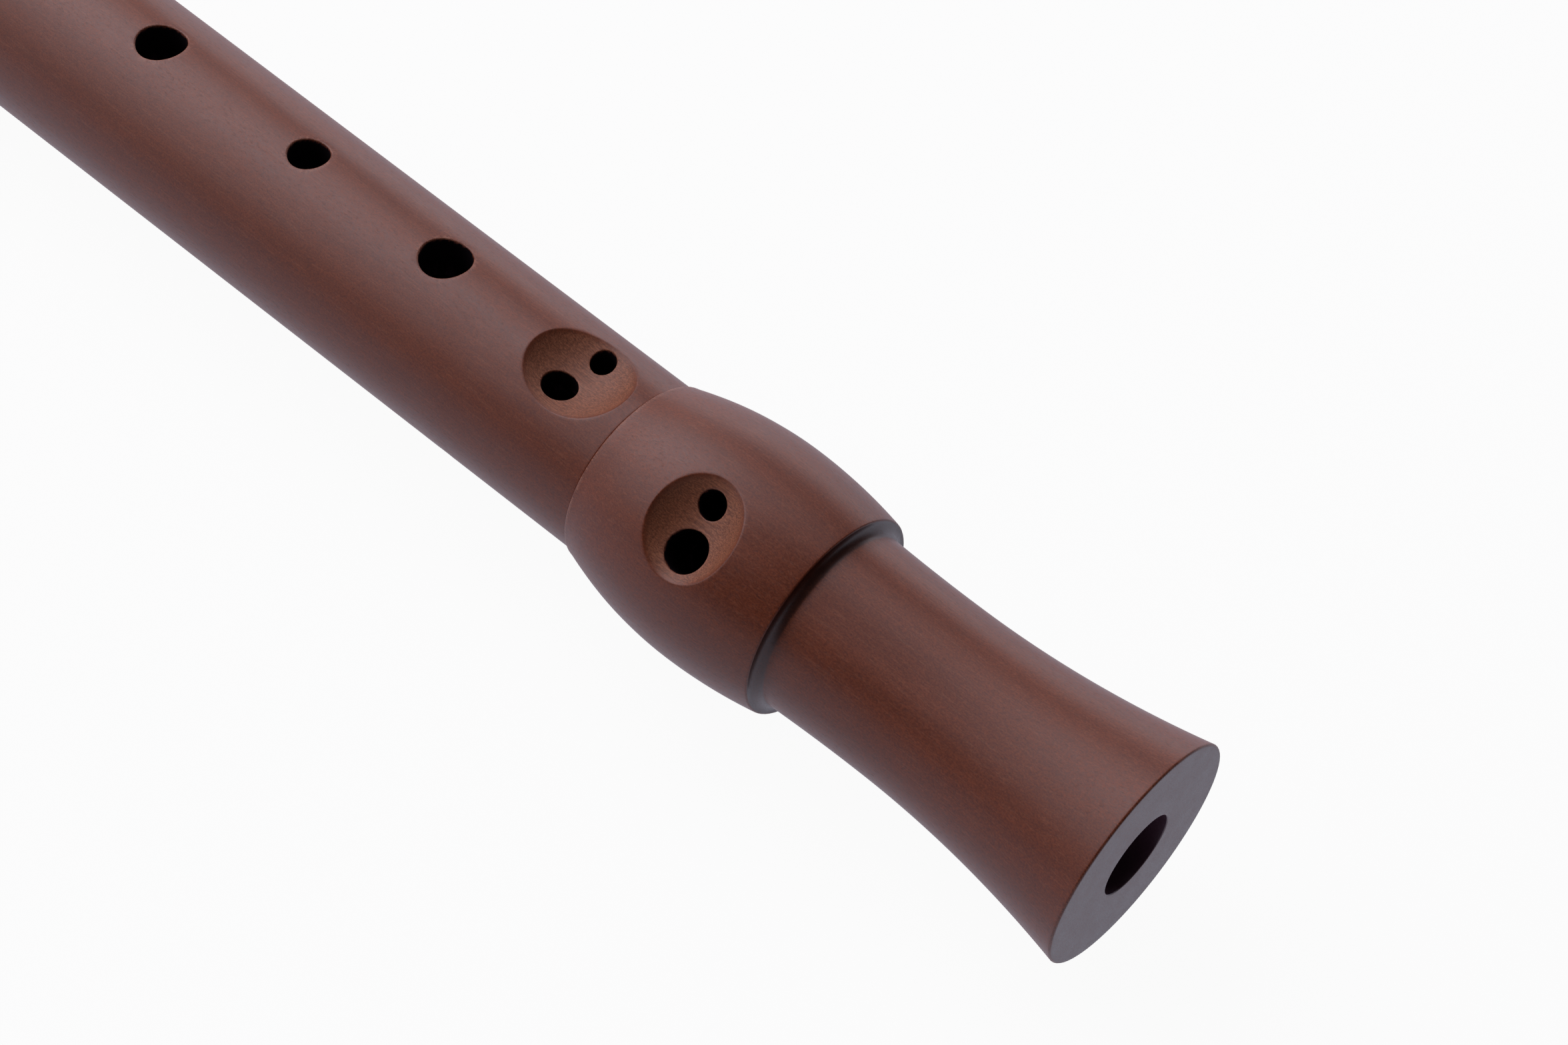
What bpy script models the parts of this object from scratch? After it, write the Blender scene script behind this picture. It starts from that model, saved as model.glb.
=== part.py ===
"""A wooden soprano recorder in three joints, lying on its back.

The bore runs along X, with the beak at -X and the foot's open end at +X. The finger holes face +Z and the
player's right hand side is -Y. The instrument rests on its widest turning at Z = 0, and the origin is the
middle of its length.

Every turned piece is an outline of (x, radius) points spun about the bore. Its x is measured from the seam
where its own origin lies, so a piece turns about its origin's X axis and pulls off along it.
"""

import math

import bmesh
import bpy
from mathutils import Matrix, Vector

MM = 0.001

# Turning
SIDES = 40
CURVE_STEPS = 5
EDGE_STEPS = 2

# Clearances
SEAM_GAP = 0.3 * MM
CORK_CLEARANCE = 0.3 * MM
BLOCK_CLEARANCE = 0.3 * MM
OVERCUT = 2.0 * MM

# Visible lengths of the three joints
FOOT_LENGTH = 66.2 * MM
MIDDLE_LENGTH = 138.0 * MM
HEAD_LENGTH = 124.0 * MM

# Bore radii, from the head to the open end of the foot
HEAD_BORE = 6.75 * MM
MIDDLE_BORE_TOP = 6.3 * MM
MIDDLE_BORE_BOTTOM = 5.3 * MM
FOOT_BORE_TOP = 5.2 * MM
FOOT_BORE_END = 4.7 * MM

# Middle joint
MIDDLE_RADIUS_AT_HEAD = 11.55 * MM
MIDDLE_RADIUS_AT_FOOT = 10.5 * MM
MIDDLE_EDGE = 0.25 * MM

# Tenons and their cork bands
UPPER_TENON_LENGTH = 24.0 * MM
UPPER_TENON_RADIUS = 8.9 * MM
UPPER_CORK_START = 4.0 * MM
UPPER_CORK_LENGTH = 15.0 * MM
LOWER_TENON_LENGTH = 11.5 * MM
LOWER_TENON_RADIUS = 8.2 * MM
LOWER_CORK_START = 2.0 * MM
LOWER_CORK_LENGTH = 6.6 * MM
CORK_PROUD = 0.3 * MM
CORK_THICKNESS = 1.0 * MM
TENON_EDGE = 0.5 * MM

# Foot joint: barrel, step, waist and flared end
FOOT_MOUTH_RADIUS = 10.9 * MM
FOOT_MOUTH_EDGE = 0.5 * MM
FOOT_BARREL_RADIUS = 13.2 * MM
FOOT_BARREL_WIDEST = 14.5 * MM
FOOT_BARREL_LENGTH = 26.6 * MM
FOOT_LIP_RADIUS = 11.9 * MM
FOOT_LIP_EDGE = 0.5 * MM
FOOT_STEP_RADIUS = 10.5 * MM
FOOT_STEP_FILLET = 0.8 * MM
FOOT_WAIST_RADIUS = 10.12 * MM
FOOT_WAIST_POSITION = 40.0 * MM
FOOT_END_RADIUS = 12.95 * MM
FOOT_END_EDGE = 0.25 * MM

# Head joint: the same turning the other way round, then the beak
HEAD_MOUTH_RADIUS = 12.1 * MM
HEAD_MOUTH_EDGE = 0.5 * MM
HEAD_BARREL_RADIUS = 13.2 * MM
HEAD_BARREL_WIDEST = 14.0 * MM
HEAD_BARREL_LENGTH = 29.0 * MM
HEAD_LIP_RADIUS = 12.3 * MM
HEAD_LIP_EDGE = 0.5 * MM
HEAD_STEP_RADIUS = 11.1 * MM
HEAD_STEP_FILLET = 0.8 * MM
HEAD_WAIST_RADIUS = 10.9 * MM
HEAD_WAIST_POSITION = 37.0 * MM
HEAD_BODY_RADIUS = 12.4 * MM
HEAD_BODY_POSITION = 66.0 * MM
BEAK_TIP_RADIUS = 11.7 * MM
BEAK_TIP_EDGE = 0.8 * MM

# Windway, window and ramp, with radii from the bore's axis
WINDWAY_LENGTH = 39.0 * MM
WINDWAY_WIDTH = 10.0 * MM
WINDWAY_ROOF = 7.35 * MM
WINDWAY_FLOOR = 6.2 * MM
WINDOW_CUT_UP = 4.2 * MM
WINDOW_WIDTH = 10.4 * MM
LABIUM_RADIUS = 7.05 * MM
RAMP_ANGLE = math.radians(15.0)

# Beak: the round cut under the mouthpiece, with its lip above the bore's axis
BEAK_CUT_RADIUS = 30.0 * MM
BEAK_LIP_HEIGHT = 1.5 * MM
BEAK_LIP_LENGTH = 5.0 * MM
BEAK_SIDES = 72

# Single holes of the middle joint: name, distance from the foot seam, diameter
FINGER_HOLES = (
    ("hole_1", 114.0 * MM, 5.0 * MM),
    ("hole_2", 94.8 * MM, 5.6 * MM),
    ("hole_3", 75.5 * MM, 5.8 * MM),
    ("hole_4", 50.7 * MM, 4.7 * MM),
    ("hole_5", 29.0 * MM, 5.85 * MM),
)
THUMB_HOLE_DISTANCE = 122.0 * MM
THUMB_HOLE_DIAMETER = 5.5 * MM
HOLE_SIDES = 24

# Double holes: each pair sits in a scoop, large hole towards the player's right.
# A hole is given by its place along the bore and to the right from the scoop's middle, and its diameter.
SIXTH_DISTANCE = 7.9 * MM
SIXTH_TURN = math.radians(5.6)
SIXTH_HALF_LENGTH = 6.3 * MM
SIXTH_HALF_WIDTH = 5.3 * MM
SIXTH_DEPTH = 2.5 * MM
SIXTH_LARGE = (-1.3 * MM, 1.8 * MM, 3.9 * MM)
SIXTH_SMALL = (-0.1 * MM, -3.4 * MM, 2.85 * MM)
FOOT_TURN = math.radians(38.0)
SEVENTH_DISTANCE = 14.4 * MM
SEVENTH_HALF_LENGTH = 5.3 * MM
SEVENTH_HALF_WIDTH = 5.8 * MM
SEVENTH_DEPTH = 2.4 * MM
SEVENTH_LARGE = (0.35 * MM, 2.3 * MM, 4.7 * MM)
SEVENTH_SMALL = (-0.3 * MM, -2.9 * MM, 3.15 * MM)
SCOOP_ROUNDING = 7.0 * MM
SCOOP_SIDES = 40

# Places along X and the height of the bore's axis
TOTAL_LENGTH = FOOT_LENGTH + MIDDLE_LENGTH + HEAD_LENGTH
FOOT_SEAM_X = TOTAL_LENGTH / 2 - FOOT_LENGTH
HEAD_SEAM_X = FOOT_SEAM_X - MIDDLE_LENGTH
FLAT_FACTOR = math.cos(math.pi / SIDES)
AXIS_Z = max(HEAD_BARREL_RADIUS, FOOT_BARREL_RADIUS) * FLAT_FACTOR

# Depths of the cutting tools over the bore's axis
BORE_CENTRE_LOW = 1.5 * MM
SLOT_LOW = 3.0 * MM
ARCH_STEPS = 8

# Radii that follow from the tenons
UPPER_SOCKET_RADIUS = UPPER_TENON_RADIUS + CORK_PROUD + CORK_CLEARANCE
LOWER_SOCKET_RADIUS = LOWER_TENON_RADIUS + CORK_PROUD + CORK_CLEARANCE


# Outlines

def parabola(vertex, end, steps=CURVE_STEPS):
    """Points from the vertex, where the curve is level, to the end."""
    points = []
    for step in range(steps + 1):
        t = step / steps
        x = vertex[0] + (end[0] - vertex[0]) * t
        r = vertex[1] + (end[1] - vertex[1]) * t * t
        points.append((x, r))
    return points


def ease(start, end, steps=CURVE_STEPS):
    """Points of an S-curve that is level at both ends."""
    points = []
    for step in range(steps + 1):
        t = step / steps
        x = start[0] + (end[0] - start[0]) * t
        r = start[1] + (end[1] - start[1]) * t * t * (3 - 2 * t)
        points.append((x, r))
    return points


def rounded(outline, steps=EDGE_STEPS):
    """The closed outline with an arc at each point that gives a third value, the arc's radius."""
    points = []
    for index, point in enumerate(outline):
        corner = Vector(point[:2])
        if len(point) == 2:
            points.append(corner)
            continue
        before = Vector(outline[index - 1][:2]) - corner
        after = Vector(outline[(index + 1) % len(outline)][:2]) - corner
        half_angle = before.angle(after) / 2
        reach = min(point[2] / math.tan(half_angle), before.length * 0.8, after.length * 0.8)
        radius = reach * math.tan(half_angle)
        middle = (before.normalized() + after.normalized()).normalized()
        centre = corner + middle * radius / math.sin(half_angle)
        first = corner + before.normalized() * reach - centre
        last = corner + after.normalized() * reach - centre
        for step in range(steps + 1):
            mix = first.lerp(last, step / steps)
            points.append(centre + mix.normalized() * radius)
    return points


def facing(direction, outline):
    """The outline with its distances from the seam running along +X or -X."""
    return [(direction * point[0],) + tuple(point[1:]) for point in outline]


def barrel_outline(mouth, widest, lip, step):
    """From the rounded mouth over the barrel to the lip and down the step's face to its fillet."""
    return (
        [mouth]
        + parabola(widest, mouth[:2])[-2:0:-1]
        + parabola(widest, lip[:2])[:-1]
        + [lip, step]
    )


def foot_outline():
    barrel = barrel_outline(
        mouth=(SEAM_GAP, FOOT_MOUTH_RADIUS, FOOT_MOUTH_EDGE),
        widest=(FOOT_BARREL_WIDEST, FOOT_BARREL_RADIUS),
        lip=(FOOT_BARREL_LENGTH, FOOT_LIP_RADIUS, FOOT_LIP_EDGE),
        step=(FOOT_BARREL_LENGTH, FOOT_STEP_RADIUS, FOOT_STEP_FILLET),
    )
    waist = (FOOT_WAIST_POSITION, FOOT_WAIST_RADIUS)
    narrowing = parabola(waist, (FOOT_BARREL_LENGTH, FOOT_STEP_RADIUS), steps=EDGE_STEPS)[-2::-1]
    flare = parabola(waist, (FOOT_LENGTH, FOOT_END_RADIUS))[1:-1]
    socket_end = LOWER_TENON_LENGTH + SEAM_GAP
    bore = [
        (FOOT_LENGTH, FOOT_END_RADIUS, FOOT_END_EDGE),
        (FOOT_LENGTH, FOOT_BORE_END),
        (socket_end, FOOT_BORE_TOP),
        (socket_end, LOWER_SOCKET_RADIUS),
        (SEAM_GAP, LOWER_SOCKET_RADIUS),
    ]
    return facing(1, barrel + narrowing + flare + bore)


def head_outline():
    barrel = barrel_outline(
        mouth=(SEAM_GAP, HEAD_MOUTH_RADIUS, HEAD_MOUTH_EDGE),
        widest=(HEAD_BARREL_WIDEST, HEAD_BARREL_RADIUS),
        lip=(HEAD_BARREL_LENGTH, HEAD_LIP_RADIUS, HEAD_LIP_EDGE),
        step=(HEAD_BARREL_LENGTH, HEAD_STEP_RADIUS, HEAD_STEP_FILLET),
    )
    waist = (HEAD_WAIST_POSITION, HEAD_WAIST_RADIUS)
    body = (HEAD_BODY_POSITION, HEAD_BODY_RADIUS)
    narrowing = parabola(waist, (HEAD_BARREL_LENGTH, HEAD_STEP_RADIUS), steps=EDGE_STEPS)[-2::-1]
    widening = ease(waist, body)[1:]
    beak = parabola(body, (HEAD_LENGTH, BEAK_TIP_RADIUS), steps=EDGE_STEPS)[1:-1]
    socket_end = UPPER_TENON_LENGTH + SEAM_GAP
    bore = [
        (HEAD_LENGTH, BEAK_TIP_RADIUS, BEAK_TIP_EDGE),
        (HEAD_LENGTH, HEAD_BORE),
        (socket_end, HEAD_BORE),
        (socket_end, UPPER_SOCKET_RADIUS),
        (SEAM_GAP, UPPER_SOCKET_RADIUS),
    ]
    return facing(-1, barrel + narrowing + widening + beak + bore)


def tenon_outline(length, radius, cork_start, cork_length):
    """From the shoulder over the cork's groove to the tenon's end."""
    groove_start = cork_start - CORK_CLEARANCE
    groove_end = cork_start + cork_length + CORK_CLEARANCE
    groove_radius = radius + CORK_PROUD - CORK_THICKNESS - CORK_CLEARANCE
    return [
        (0.0, radius),
        (groove_start, radius),
        (groove_start, groove_radius),
        (groove_end, groove_radius),
        (groove_end, radius),
        (length, radius, TENON_EDGE),
    ]


def middle_outline():
    lower = tenon_outline(LOWER_TENON_LENGTH, LOWER_TENON_RADIUS, LOWER_CORK_START, LOWER_CORK_LENGTH)
    upper = tenon_outline(UPPER_TENON_LENGTH, UPPER_TENON_RADIUS, UPPER_CORK_START, UPPER_CORK_LENGTH)
    upper = [(-MIDDLE_LENGTH - point[0],) + tuple(point[1:]) for point in upper]
    outside = [
        (-MIDDLE_LENGTH, MIDDLE_RADIUS_AT_HEAD, MIDDLE_EDGE),
        (0.0, MIDDLE_RADIUS_AT_FOOT, MIDDLE_EDGE),
    ]
    bore = [
        (LOWER_TENON_LENGTH, MIDDLE_BORE_BOTTOM),
        (-MIDDLE_LENGTH - UPPER_TENON_LENGTH, MIDDLE_BORE_TOP),
    ]
    return outside + lower + bore + upper[::-1]


def cork_outline(direction, tenon_radius, start, length):
    outer = tenon_radius + CORK_PROUD
    inner = outer - CORK_THICKNESS
    ring = [
        (start, inner),
        (start, outer, CORK_PROUD),
        (start + length, outer, CORK_PROUD),
        (start + length, inner),
    ]
    return facing(direction, ring)


# Meshes

def finish_mesh(name, bm, sharp_degrees=35.0):
    """The closed mesh with its faces outwards, smooth but for its sharp edges."""
    bmesh.ops.recalc_face_normals(bm, faces=bm.faces)
    mesh = bpy.data.meshes.new(name)
    bm.to_mesh(mesh)
    bm.free()
    mesh.shade_smooth()
    mesh.set_sharp_from_angle(angle=math.radians(sharp_degrees))
    return mesh


def spun_mesh(name, outline):
    """The closed outline spun about X, with one flat strip facing straight down."""
    bm = bmesh.new()
    half_side = Matrix.Rotation(math.pi / SIDES, 3, "X")
    verts = [bm.verts.new(half_side @ Vector((x, 0.0, r))) for x, r in rounded(outline)]
    edges = [bm.edges.new((verts[index - 1], vert)) for index, vert in enumerate(verts)]
    bmesh.ops.spin(
        bm, geom=verts + edges, cent=(0, 0, 0), axis=(1, 0, 0), angle=2 * math.pi, steps=SIDES, use_merge=True
    )
    return finish_mesh(name, bm)


def lofted_mesh(name, sections):
    """A closed body through sections, each a loop of as many points."""
    bm = bmesh.new()
    loops = [[bm.verts.new(point) for point in section] for section in sections]
    count = len(loops[0])
    for near, far in zip(loops, loops[1:]):
        for index in range(count):
            bm.faces.new((near[index - 1], near[index], far[index], far[index - 1]))
    bm.faces.new(loops[0])
    bm.faces.new(loops[-1])
    return finish_mesh(name, bm)


def drill_mesh(name, diameter, low, high):
    """A drill along Z."""
    bm = bmesh.new()
    bmesh.ops.create_cone(
        bm,
        cap_ends=True,
        segments=HOLE_SIDES,
        radius1=diameter / 2,
        radius2=diameter / 2,
        depth=high - low,
        matrix=Matrix.Translation((0, 0, (low + high) / 2)),
    )
    return finish_mesh(name, bm)


def arch_height(radius, y):
    """Height over the bore's axis of an arch about that axis."""
    return math.sqrt(radius * radius - y * y)


def reach_for(half_opening, height):
    """Half-axis of an ellipse that is half_opening wide at a height from the middle of SCOOP_ROUNDING."""
    return half_opening / math.sqrt(1 - (height / SCOOP_ROUNDING) ** 2)


def scoop_mesh(name, outer_radius, half_length, half_width, depth):
    """A stretched ball that meets a rod of the outer radius in a rim of these half sizes."""
    centre = outer_radius - depth + SCOOP_ROUNDING
    end_height = centre - outer_radius
    side_height = centre - arch_height(outer_radius, half_width)
    bm = bmesh.new()
    bmesh.ops.create_uvsphere(bm, u_segments=SCOOP_SIDES, v_segments=SCOOP_SIDES // 2, radius=1.0)
    sizes = (reach_for(half_length, end_height), reach_for(half_width, side_height), SCOOP_ROUNDING)
    bmesh.ops.scale(bm, vec=sizes, verts=bm.verts)
    bmesh.ops.translate(bm, vec=(0, 0, centre), verts=bm.verts)
    return finish_mesh(name, bm)


# Objects

def material(name, color, roughness):
    made = bpy.data.materials.new(name)
    made.use_nodes = True
    shader = made.node_tree.nodes["Principled BSDF"]
    shader.inputs["Base Color"].default_value = color
    shader.inputs["Roughness"].default_value = roughness
    shader.inputs["Metallic"].default_value = 0.0
    return made


def add_object(name, mesh, location, parent):
    made = bpy.data.objects.new(name, mesh)
    bpy.context.collection.objects.link(made)
    made.parent = parent
    made.location = location
    return made


def cut(targets, cutter):
    """Takes the cutter out of each target and keeps it as a wire guide."""
    cutter.hide_render = True
    cutter.display_type = "WIRE"
    for target in targets:
        difference = target.modifiers.new(cutter.name, "BOOLEAN")
        difference.operation = "DIFFERENCE"
        difference.solver = "EXACT"
        difference.object = cutter


def drill(target, name, diameter, low, high, location, turn):
    """A hole through one wall, turned about the bore from straight up towards the player's right."""
    tool = add_object(name, drill_mesh(name, diameter, low, high), location, target)
    tool.rotation_euler.x = turn
    cut([target], tool)
    return tool


def double_hole(target, name, distance, turn, outer_radius, sizes, large, small):
    """A scoop of half-length, half-width and depth, with two parallel holes in its floor."""
    place = (distance, 0, 0)
    scoop_name = f"{name}_scoop"
    scoop = add_object(scoop_name, scoop_mesh(scoop_name, outer_radius, *sizes), place, target)
    scoop.rotation_euler.x = turn
    cut([target], scoop)
    high = outer_radius + OVERCUT
    for size, (along, right, diameter) in (("large", large), ("small", small)):
        tool = drill(target, f"{name}_{size}", diameter, BORE_CENTRE_LOW, high, place, turn)
        tool.data.transform(Matrix.Translation((along, -right, 0)))


# Pieces

def make_foot(parent):
    foot = add_object("foot_joint", spun_mesh("foot_joint", foot_outline()), (FOOT_SEAM_X, 0, 0), parent)
    foot.data.materials.append(material("foot_wood", (0.085, 0.030, 0.020, 1.0), 0.42))
    double_hole(
        foot,
        "hole_7",
        SEVENTH_DISTANCE,
        FOOT_TURN,
        FOOT_BARREL_RADIUS,
        (SEVENTH_HALF_LENGTH, SEVENTH_HALF_WIDTH, SEVENTH_DEPTH),
        SEVENTH_LARGE,
        SEVENTH_SMALL,
    )
    return foot


def middle_radius(distance):
    """Outer radius of the middle joint at a distance from the foot seam."""
    taper = (MIDDLE_RADIUS_AT_HEAD - MIDDLE_RADIUS_AT_FOOT) / MIDDLE_LENGTH
    return MIDDLE_RADIUS_AT_FOOT + taper * distance


def make_middle(parent):
    place = (FOOT_SEAM_X, 0, 0)
    middle = add_object("middle_joint", spun_mesh("middle_joint", middle_outline()), place, parent)
    middle.data.materials.append(material("middle_wood", (0.090, 0.033, 0.022, 1.0), 0.42))
    for name, distance, diameter in FINGER_HOLES:
        high = middle_radius(distance) + OVERCUT
        drill(middle, name, diameter, BORE_CENTRE_LOW, high, (-distance, 0, 0), 0.0)
    thumb_high = middle_radius(THUMB_HOLE_DISTANCE) + OVERCUT
    thumb_place = (-THUMB_HOLE_DISTANCE, 0, 0)
    drill(middle, "thumb_hole", THUMB_HOLE_DIAMETER, BORE_CENTRE_LOW, thumb_high, thumb_place, math.pi)
    double_hole(
        middle,
        "hole_6",
        -SIXTH_DISTANCE,
        SIXTH_TURN,
        middle_radius(SIXTH_DISTANCE),
        (SIXTH_HALF_LENGTH, SIXTH_HALF_WIDTH, SIXTH_DEPTH),
        SIXTH_LARGE,
        SIXTH_SMALL,
    )
    return middle


def across(width):
    """Places from one side to the other of a slot."""
    return [width * (step / ARCH_STEPS - 0.5) for step in range(ARCH_STEPS + 1)]


def windway_mesh():
    """The slot over the block, from outside the beak to the window, under an arched roof."""
    start = -HEAD_LENGTH - OVERCUT
    end = -HEAD_LENGTH + WINDWAY_LENGTH + WINDOW_CUT_UP / 2
    sections = []
    for y in across(WINDWAY_WIDTH):
        roof = arch_height(WINDWAY_ROOF, y)
        sections.append([(start, y, SLOT_LOW), (end, y, SLOT_LOW), (end, y, roof), (start, y, roof)])
    return lofted_mesh("windway", sections)


def window_mesh():
    """The window and the ramp behind it, which rises from the arched labium's edge."""
    start = -HEAD_LENGTH + WINDWAY_LENGTH
    edge = start + WINDOW_CUT_UP
    high = HEAD_BODY_RADIUS + OVERCUT
    end = edge + (high - LABIUM_RADIUS) / math.tan(RAMP_ANGLE)
    sections = []
    for y in across(WINDOW_WIDTH):
        profile = [
            (start, y, SLOT_LOW),
            (edge, y, SLOT_LOW),
            (edge, y, arch_height(LABIUM_RADIUS, y)),
            (end, y, arch_height(high, y)),
            (end, y, high + OVERCUT),
            (start, y, high + OVERCUT),
        ]
        sections.append(profile)
    return lofted_mesh("window", sections)


def beak_mesh():
    """A round bar across the beak whose top is the lip's height over the bore's axis."""
    bm = bmesh.new()
    width = 2 * (HEAD_BODY_RADIUS + OVERCUT)
    bmesh.ops.create_cone(
        bm,
        cap_ends=True,
        segments=BEAK_SIDES,
        radius1=BEAK_CUT_RADIUS,
        radius2=BEAK_CUT_RADIUS,
        depth=width,
        matrix=Matrix.Rotation(math.pi / 2, 4, "X"),
    )
    return finish_mesh("beak_cut", bm)


def block_mesh():
    """A round plug whose top is turned down to the windway's floor over the windway's width."""
    plug_radius = HEAD_BORE - BLOCK_CLEARANCE
    half_width = WINDWAY_WIDTH / 2
    shoulder = math.asin(half_width / plug_radius)
    section = [(y, arch_height(WINDWAY_FLOOR, y)) for y in across(WINDWAY_WIDTH)]
    round_steps = SIDES - ARCH_STEPS
    for step in range(round_steps + 1):
        angle = shoulder + (2 * math.pi - 2 * shoulder) * step / round_steps
        section.append((plug_radius * math.sin(angle), plug_radius * math.cos(angle)))
    ends = (-HEAD_LENGTH, -HEAD_LENGTH + WINDWAY_LENGTH)
    return lofted_mesh("block", [[(x, y, z) for y, z in section] for x in ends])


def make_head(parent):
    place = (HEAD_SEAM_X, 0, 0)
    head = add_object("head_joint", spun_mesh("head_joint", head_outline()), place, parent)
    head.data.materials.append(material("head_wood", (0.090, 0.033, 0.022, 1.0), 0.42))
    block = add_object("block", block_mesh(), place, parent)
    block.data.materials.append(material("cedar", (0.36, 0.17, 0.09, 1.0), 0.65))
    cut([head], add_object("windway", windway_mesh(), (0, 0, 0), head))
    cut([head], add_object("window", window_mesh(), (0, 0, 0), head))
    beak_centre = (-HEAD_LENGTH + BEAK_LIP_LENGTH, 0, BEAK_LIP_HEIGHT - BEAK_CUT_RADIUS)
    cut([head, block], add_object("beak_cut", beak_mesh(), beak_centre, head))
    return head, block


def make_cork(name, direction, tenon_radius, start, length, seam_x, parent):
    outline = cork_outline(direction, tenon_radius, start, length)
    cork = add_object(name, spun_mesh(name, outline), (seam_x, 0, 0), parent)
    cork.data.materials.append(material(name, (0.45, 0.28, 0.15, 1.0), 0.85))
    return cork


def clear_scene():
    for existing in list(bpy.data.objects):
        bpy.data.objects.remove(existing, do_unlink=True)


def build():
    clear_scene()
    bore_axis = add_object("bore_axis", None, (0, 0, AXIS_Z), None)
    make_head(bore_axis)
    make_cork(
        "upper_tenon_cork",
        -1,
        UPPER_TENON_RADIUS,
        UPPER_CORK_START,
        UPPER_CORK_LENGTH,
        HEAD_SEAM_X,
        bore_axis,
    )
    make_middle(bore_axis)
    make_cork(
        "lower_tenon_cork",
        1,
        LOWER_TENON_RADIUS,
        LOWER_CORK_START,
        LOWER_CORK_LENGTH,
        FOOT_SEAM_X,
        bore_axis,
    )
    make_foot(bore_axis)


build()
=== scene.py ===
# %% [markdown]
# # A wooden soprano recorder
#
# This lesson dresses a turned recorder in Blender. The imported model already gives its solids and
# joints, so the script loads that model first and never moves it. Every surface that shows is then
# worked out again with numpy, finer than the solids are, and each new piece rides on the body of the
# solid that it stands for.

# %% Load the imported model
import math

import bmesh
import bpy
import numpy as np
from mathutils import Matrix, Vector


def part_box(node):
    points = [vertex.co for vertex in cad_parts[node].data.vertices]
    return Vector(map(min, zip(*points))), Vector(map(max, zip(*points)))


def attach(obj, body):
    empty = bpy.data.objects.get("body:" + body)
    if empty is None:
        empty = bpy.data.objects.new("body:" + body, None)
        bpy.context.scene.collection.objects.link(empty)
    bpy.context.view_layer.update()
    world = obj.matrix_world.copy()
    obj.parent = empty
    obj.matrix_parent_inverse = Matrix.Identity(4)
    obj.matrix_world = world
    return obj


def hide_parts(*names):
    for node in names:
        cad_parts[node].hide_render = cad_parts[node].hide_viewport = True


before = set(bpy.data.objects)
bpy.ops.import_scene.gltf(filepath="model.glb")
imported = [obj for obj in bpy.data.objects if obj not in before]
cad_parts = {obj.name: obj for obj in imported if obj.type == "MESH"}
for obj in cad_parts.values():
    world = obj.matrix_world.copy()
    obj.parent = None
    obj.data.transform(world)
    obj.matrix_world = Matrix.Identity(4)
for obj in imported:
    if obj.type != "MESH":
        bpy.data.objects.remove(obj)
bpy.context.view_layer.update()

# %% [markdown]
# ## Measures
#
# A turned instrument is drawn as distances along its bore and radii about it, in millimetres. Distances
# are taken from the seam where a joint meets the middle one. The solids give the places of both seams,
# and the height of the bore follows from the foot, which is round about it. The solids stand back from
# a seam by a gap. In the hand the joints close to a line, so the head and the foot here begin a smaller
# way from the seam.

# %% Seams and bore axis
MM = 0.001
SEAM_GAP = 0.3
SEAM_LINE = 0.10

foot_low, foot_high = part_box("foot_joint")
head_low, head_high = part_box("head_joint")
FOOT_SEAM = foot_low.x / MM - SEAM_GAP
HEAD_SEAM = head_high.x / MM + SEAM_GAP
AXIS_HEIGHT = (foot_low.z + foot_high.z) / 2 / MM
print(f"seams at {HEAD_SEAM:.2f} and {FOOT_SEAM:.2f} mm, bore {AXIS_HEIGHT:.2f} mm over the floor")

# %% [markdown]
# ## Outlines
#
# A turner's gauge is a closed outline that is carried round the bore. Corners that the tool has broken
# get an arc. All arcs of an outline are worked out at once: the arc's centre lies on the line that
# halves the corner, and its ends lie on the two sides, as far from the corner as the radius over the
# tangent of half the angle.

# %% Rounded outlines
def length(vectors):
    """The length of each vector, but never quite nought."""
    return np.maximum(np.linalg.norm(vectors, axis=-1, keepdims=True), 1e-9)


def soften(corners, steps=5):
    """Closed outline of (x, radius, arc radius) corners, each with its arc. No arc gives one point."""
    corners = np.array(corners, float)
    point, arc = corners[:, :2], corners[:, 2:]
    sides = np.stack([np.roll(point, step, axis=0) - point for step in (1, -1)])
    before, after = sides / length(sides)
    half = np.arccos(np.clip((before * after).sum(1, keepdims=True), -1, 1)) / 2
    reach = np.minimum(arc / np.tan(half), 0.8 * length(sides).min(axis=0))
    size = reach * np.tan(half)
    inward = before + after
    centre = point + inward / length(inward) * (size / np.sin(half))
    first, last = (point + side * reach - centre for side in (before, after))
    share = np.linspace(0, 1, steps + 1)[:, None]
    way = first[:, None] * (1 - share) + last[:, None] * share
    way *= size[:, None] / length(way)
    outline = np.where(arc[:, None] > 0, centre[:, None] + way, point[:, None]).reshape(-1, 2)
    return outline[length(outline - np.roll(outline, 1, axis=0))[:, 0] > 1e-6]


def plain(x, radius):
    """Corners without arcs from arrays of places and radii."""
    return [(*pair, 0) for pair in np.broadcast(x, radius)]


square = soften([(0, 5, 1), (10, 5, 0), (10, 0, 0), (0, 0, 0)])
print("an outline with one rounded corner has", len(square), "points")

# %% [markdown]
# ## Grids of points
#
# Each surface is a grid: one direction runs along the outline, the other round the bore. The angle is
# counted from the line of the finger holes towards the player's right hand, so an angle of nought
# points straight up.
#
# Each point also carries three shares that tell the finish how it was made: milled, as the scoops under
# the fingers are, bored, as the holes and sockets are, and worn, as the edges are that hands rub.
# Turned wood has none of the three. The bored share's near-black colour is painted shade, for the shade
# inside holes and sockets. The reamed bore is bored and worn at once, and has a lighter tone of its own.
# The end grain has a part of the bored share, which makes it darker and bluer. The coves behind the
# barrels have a larger part, as painted shade under each step. The rim of the foot's end is half as
# worn as the lips of the holes, and its paler colour is also a painted highlight on the rim's edge.

# %% Points and cells
# The bored share mixes in a near-black colour, which paints the shade inside holes, sockets and coves.
TURNED, MILLED, BORED, WORN = np.vstack([np.zeros(3), np.eye(3)])
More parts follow.
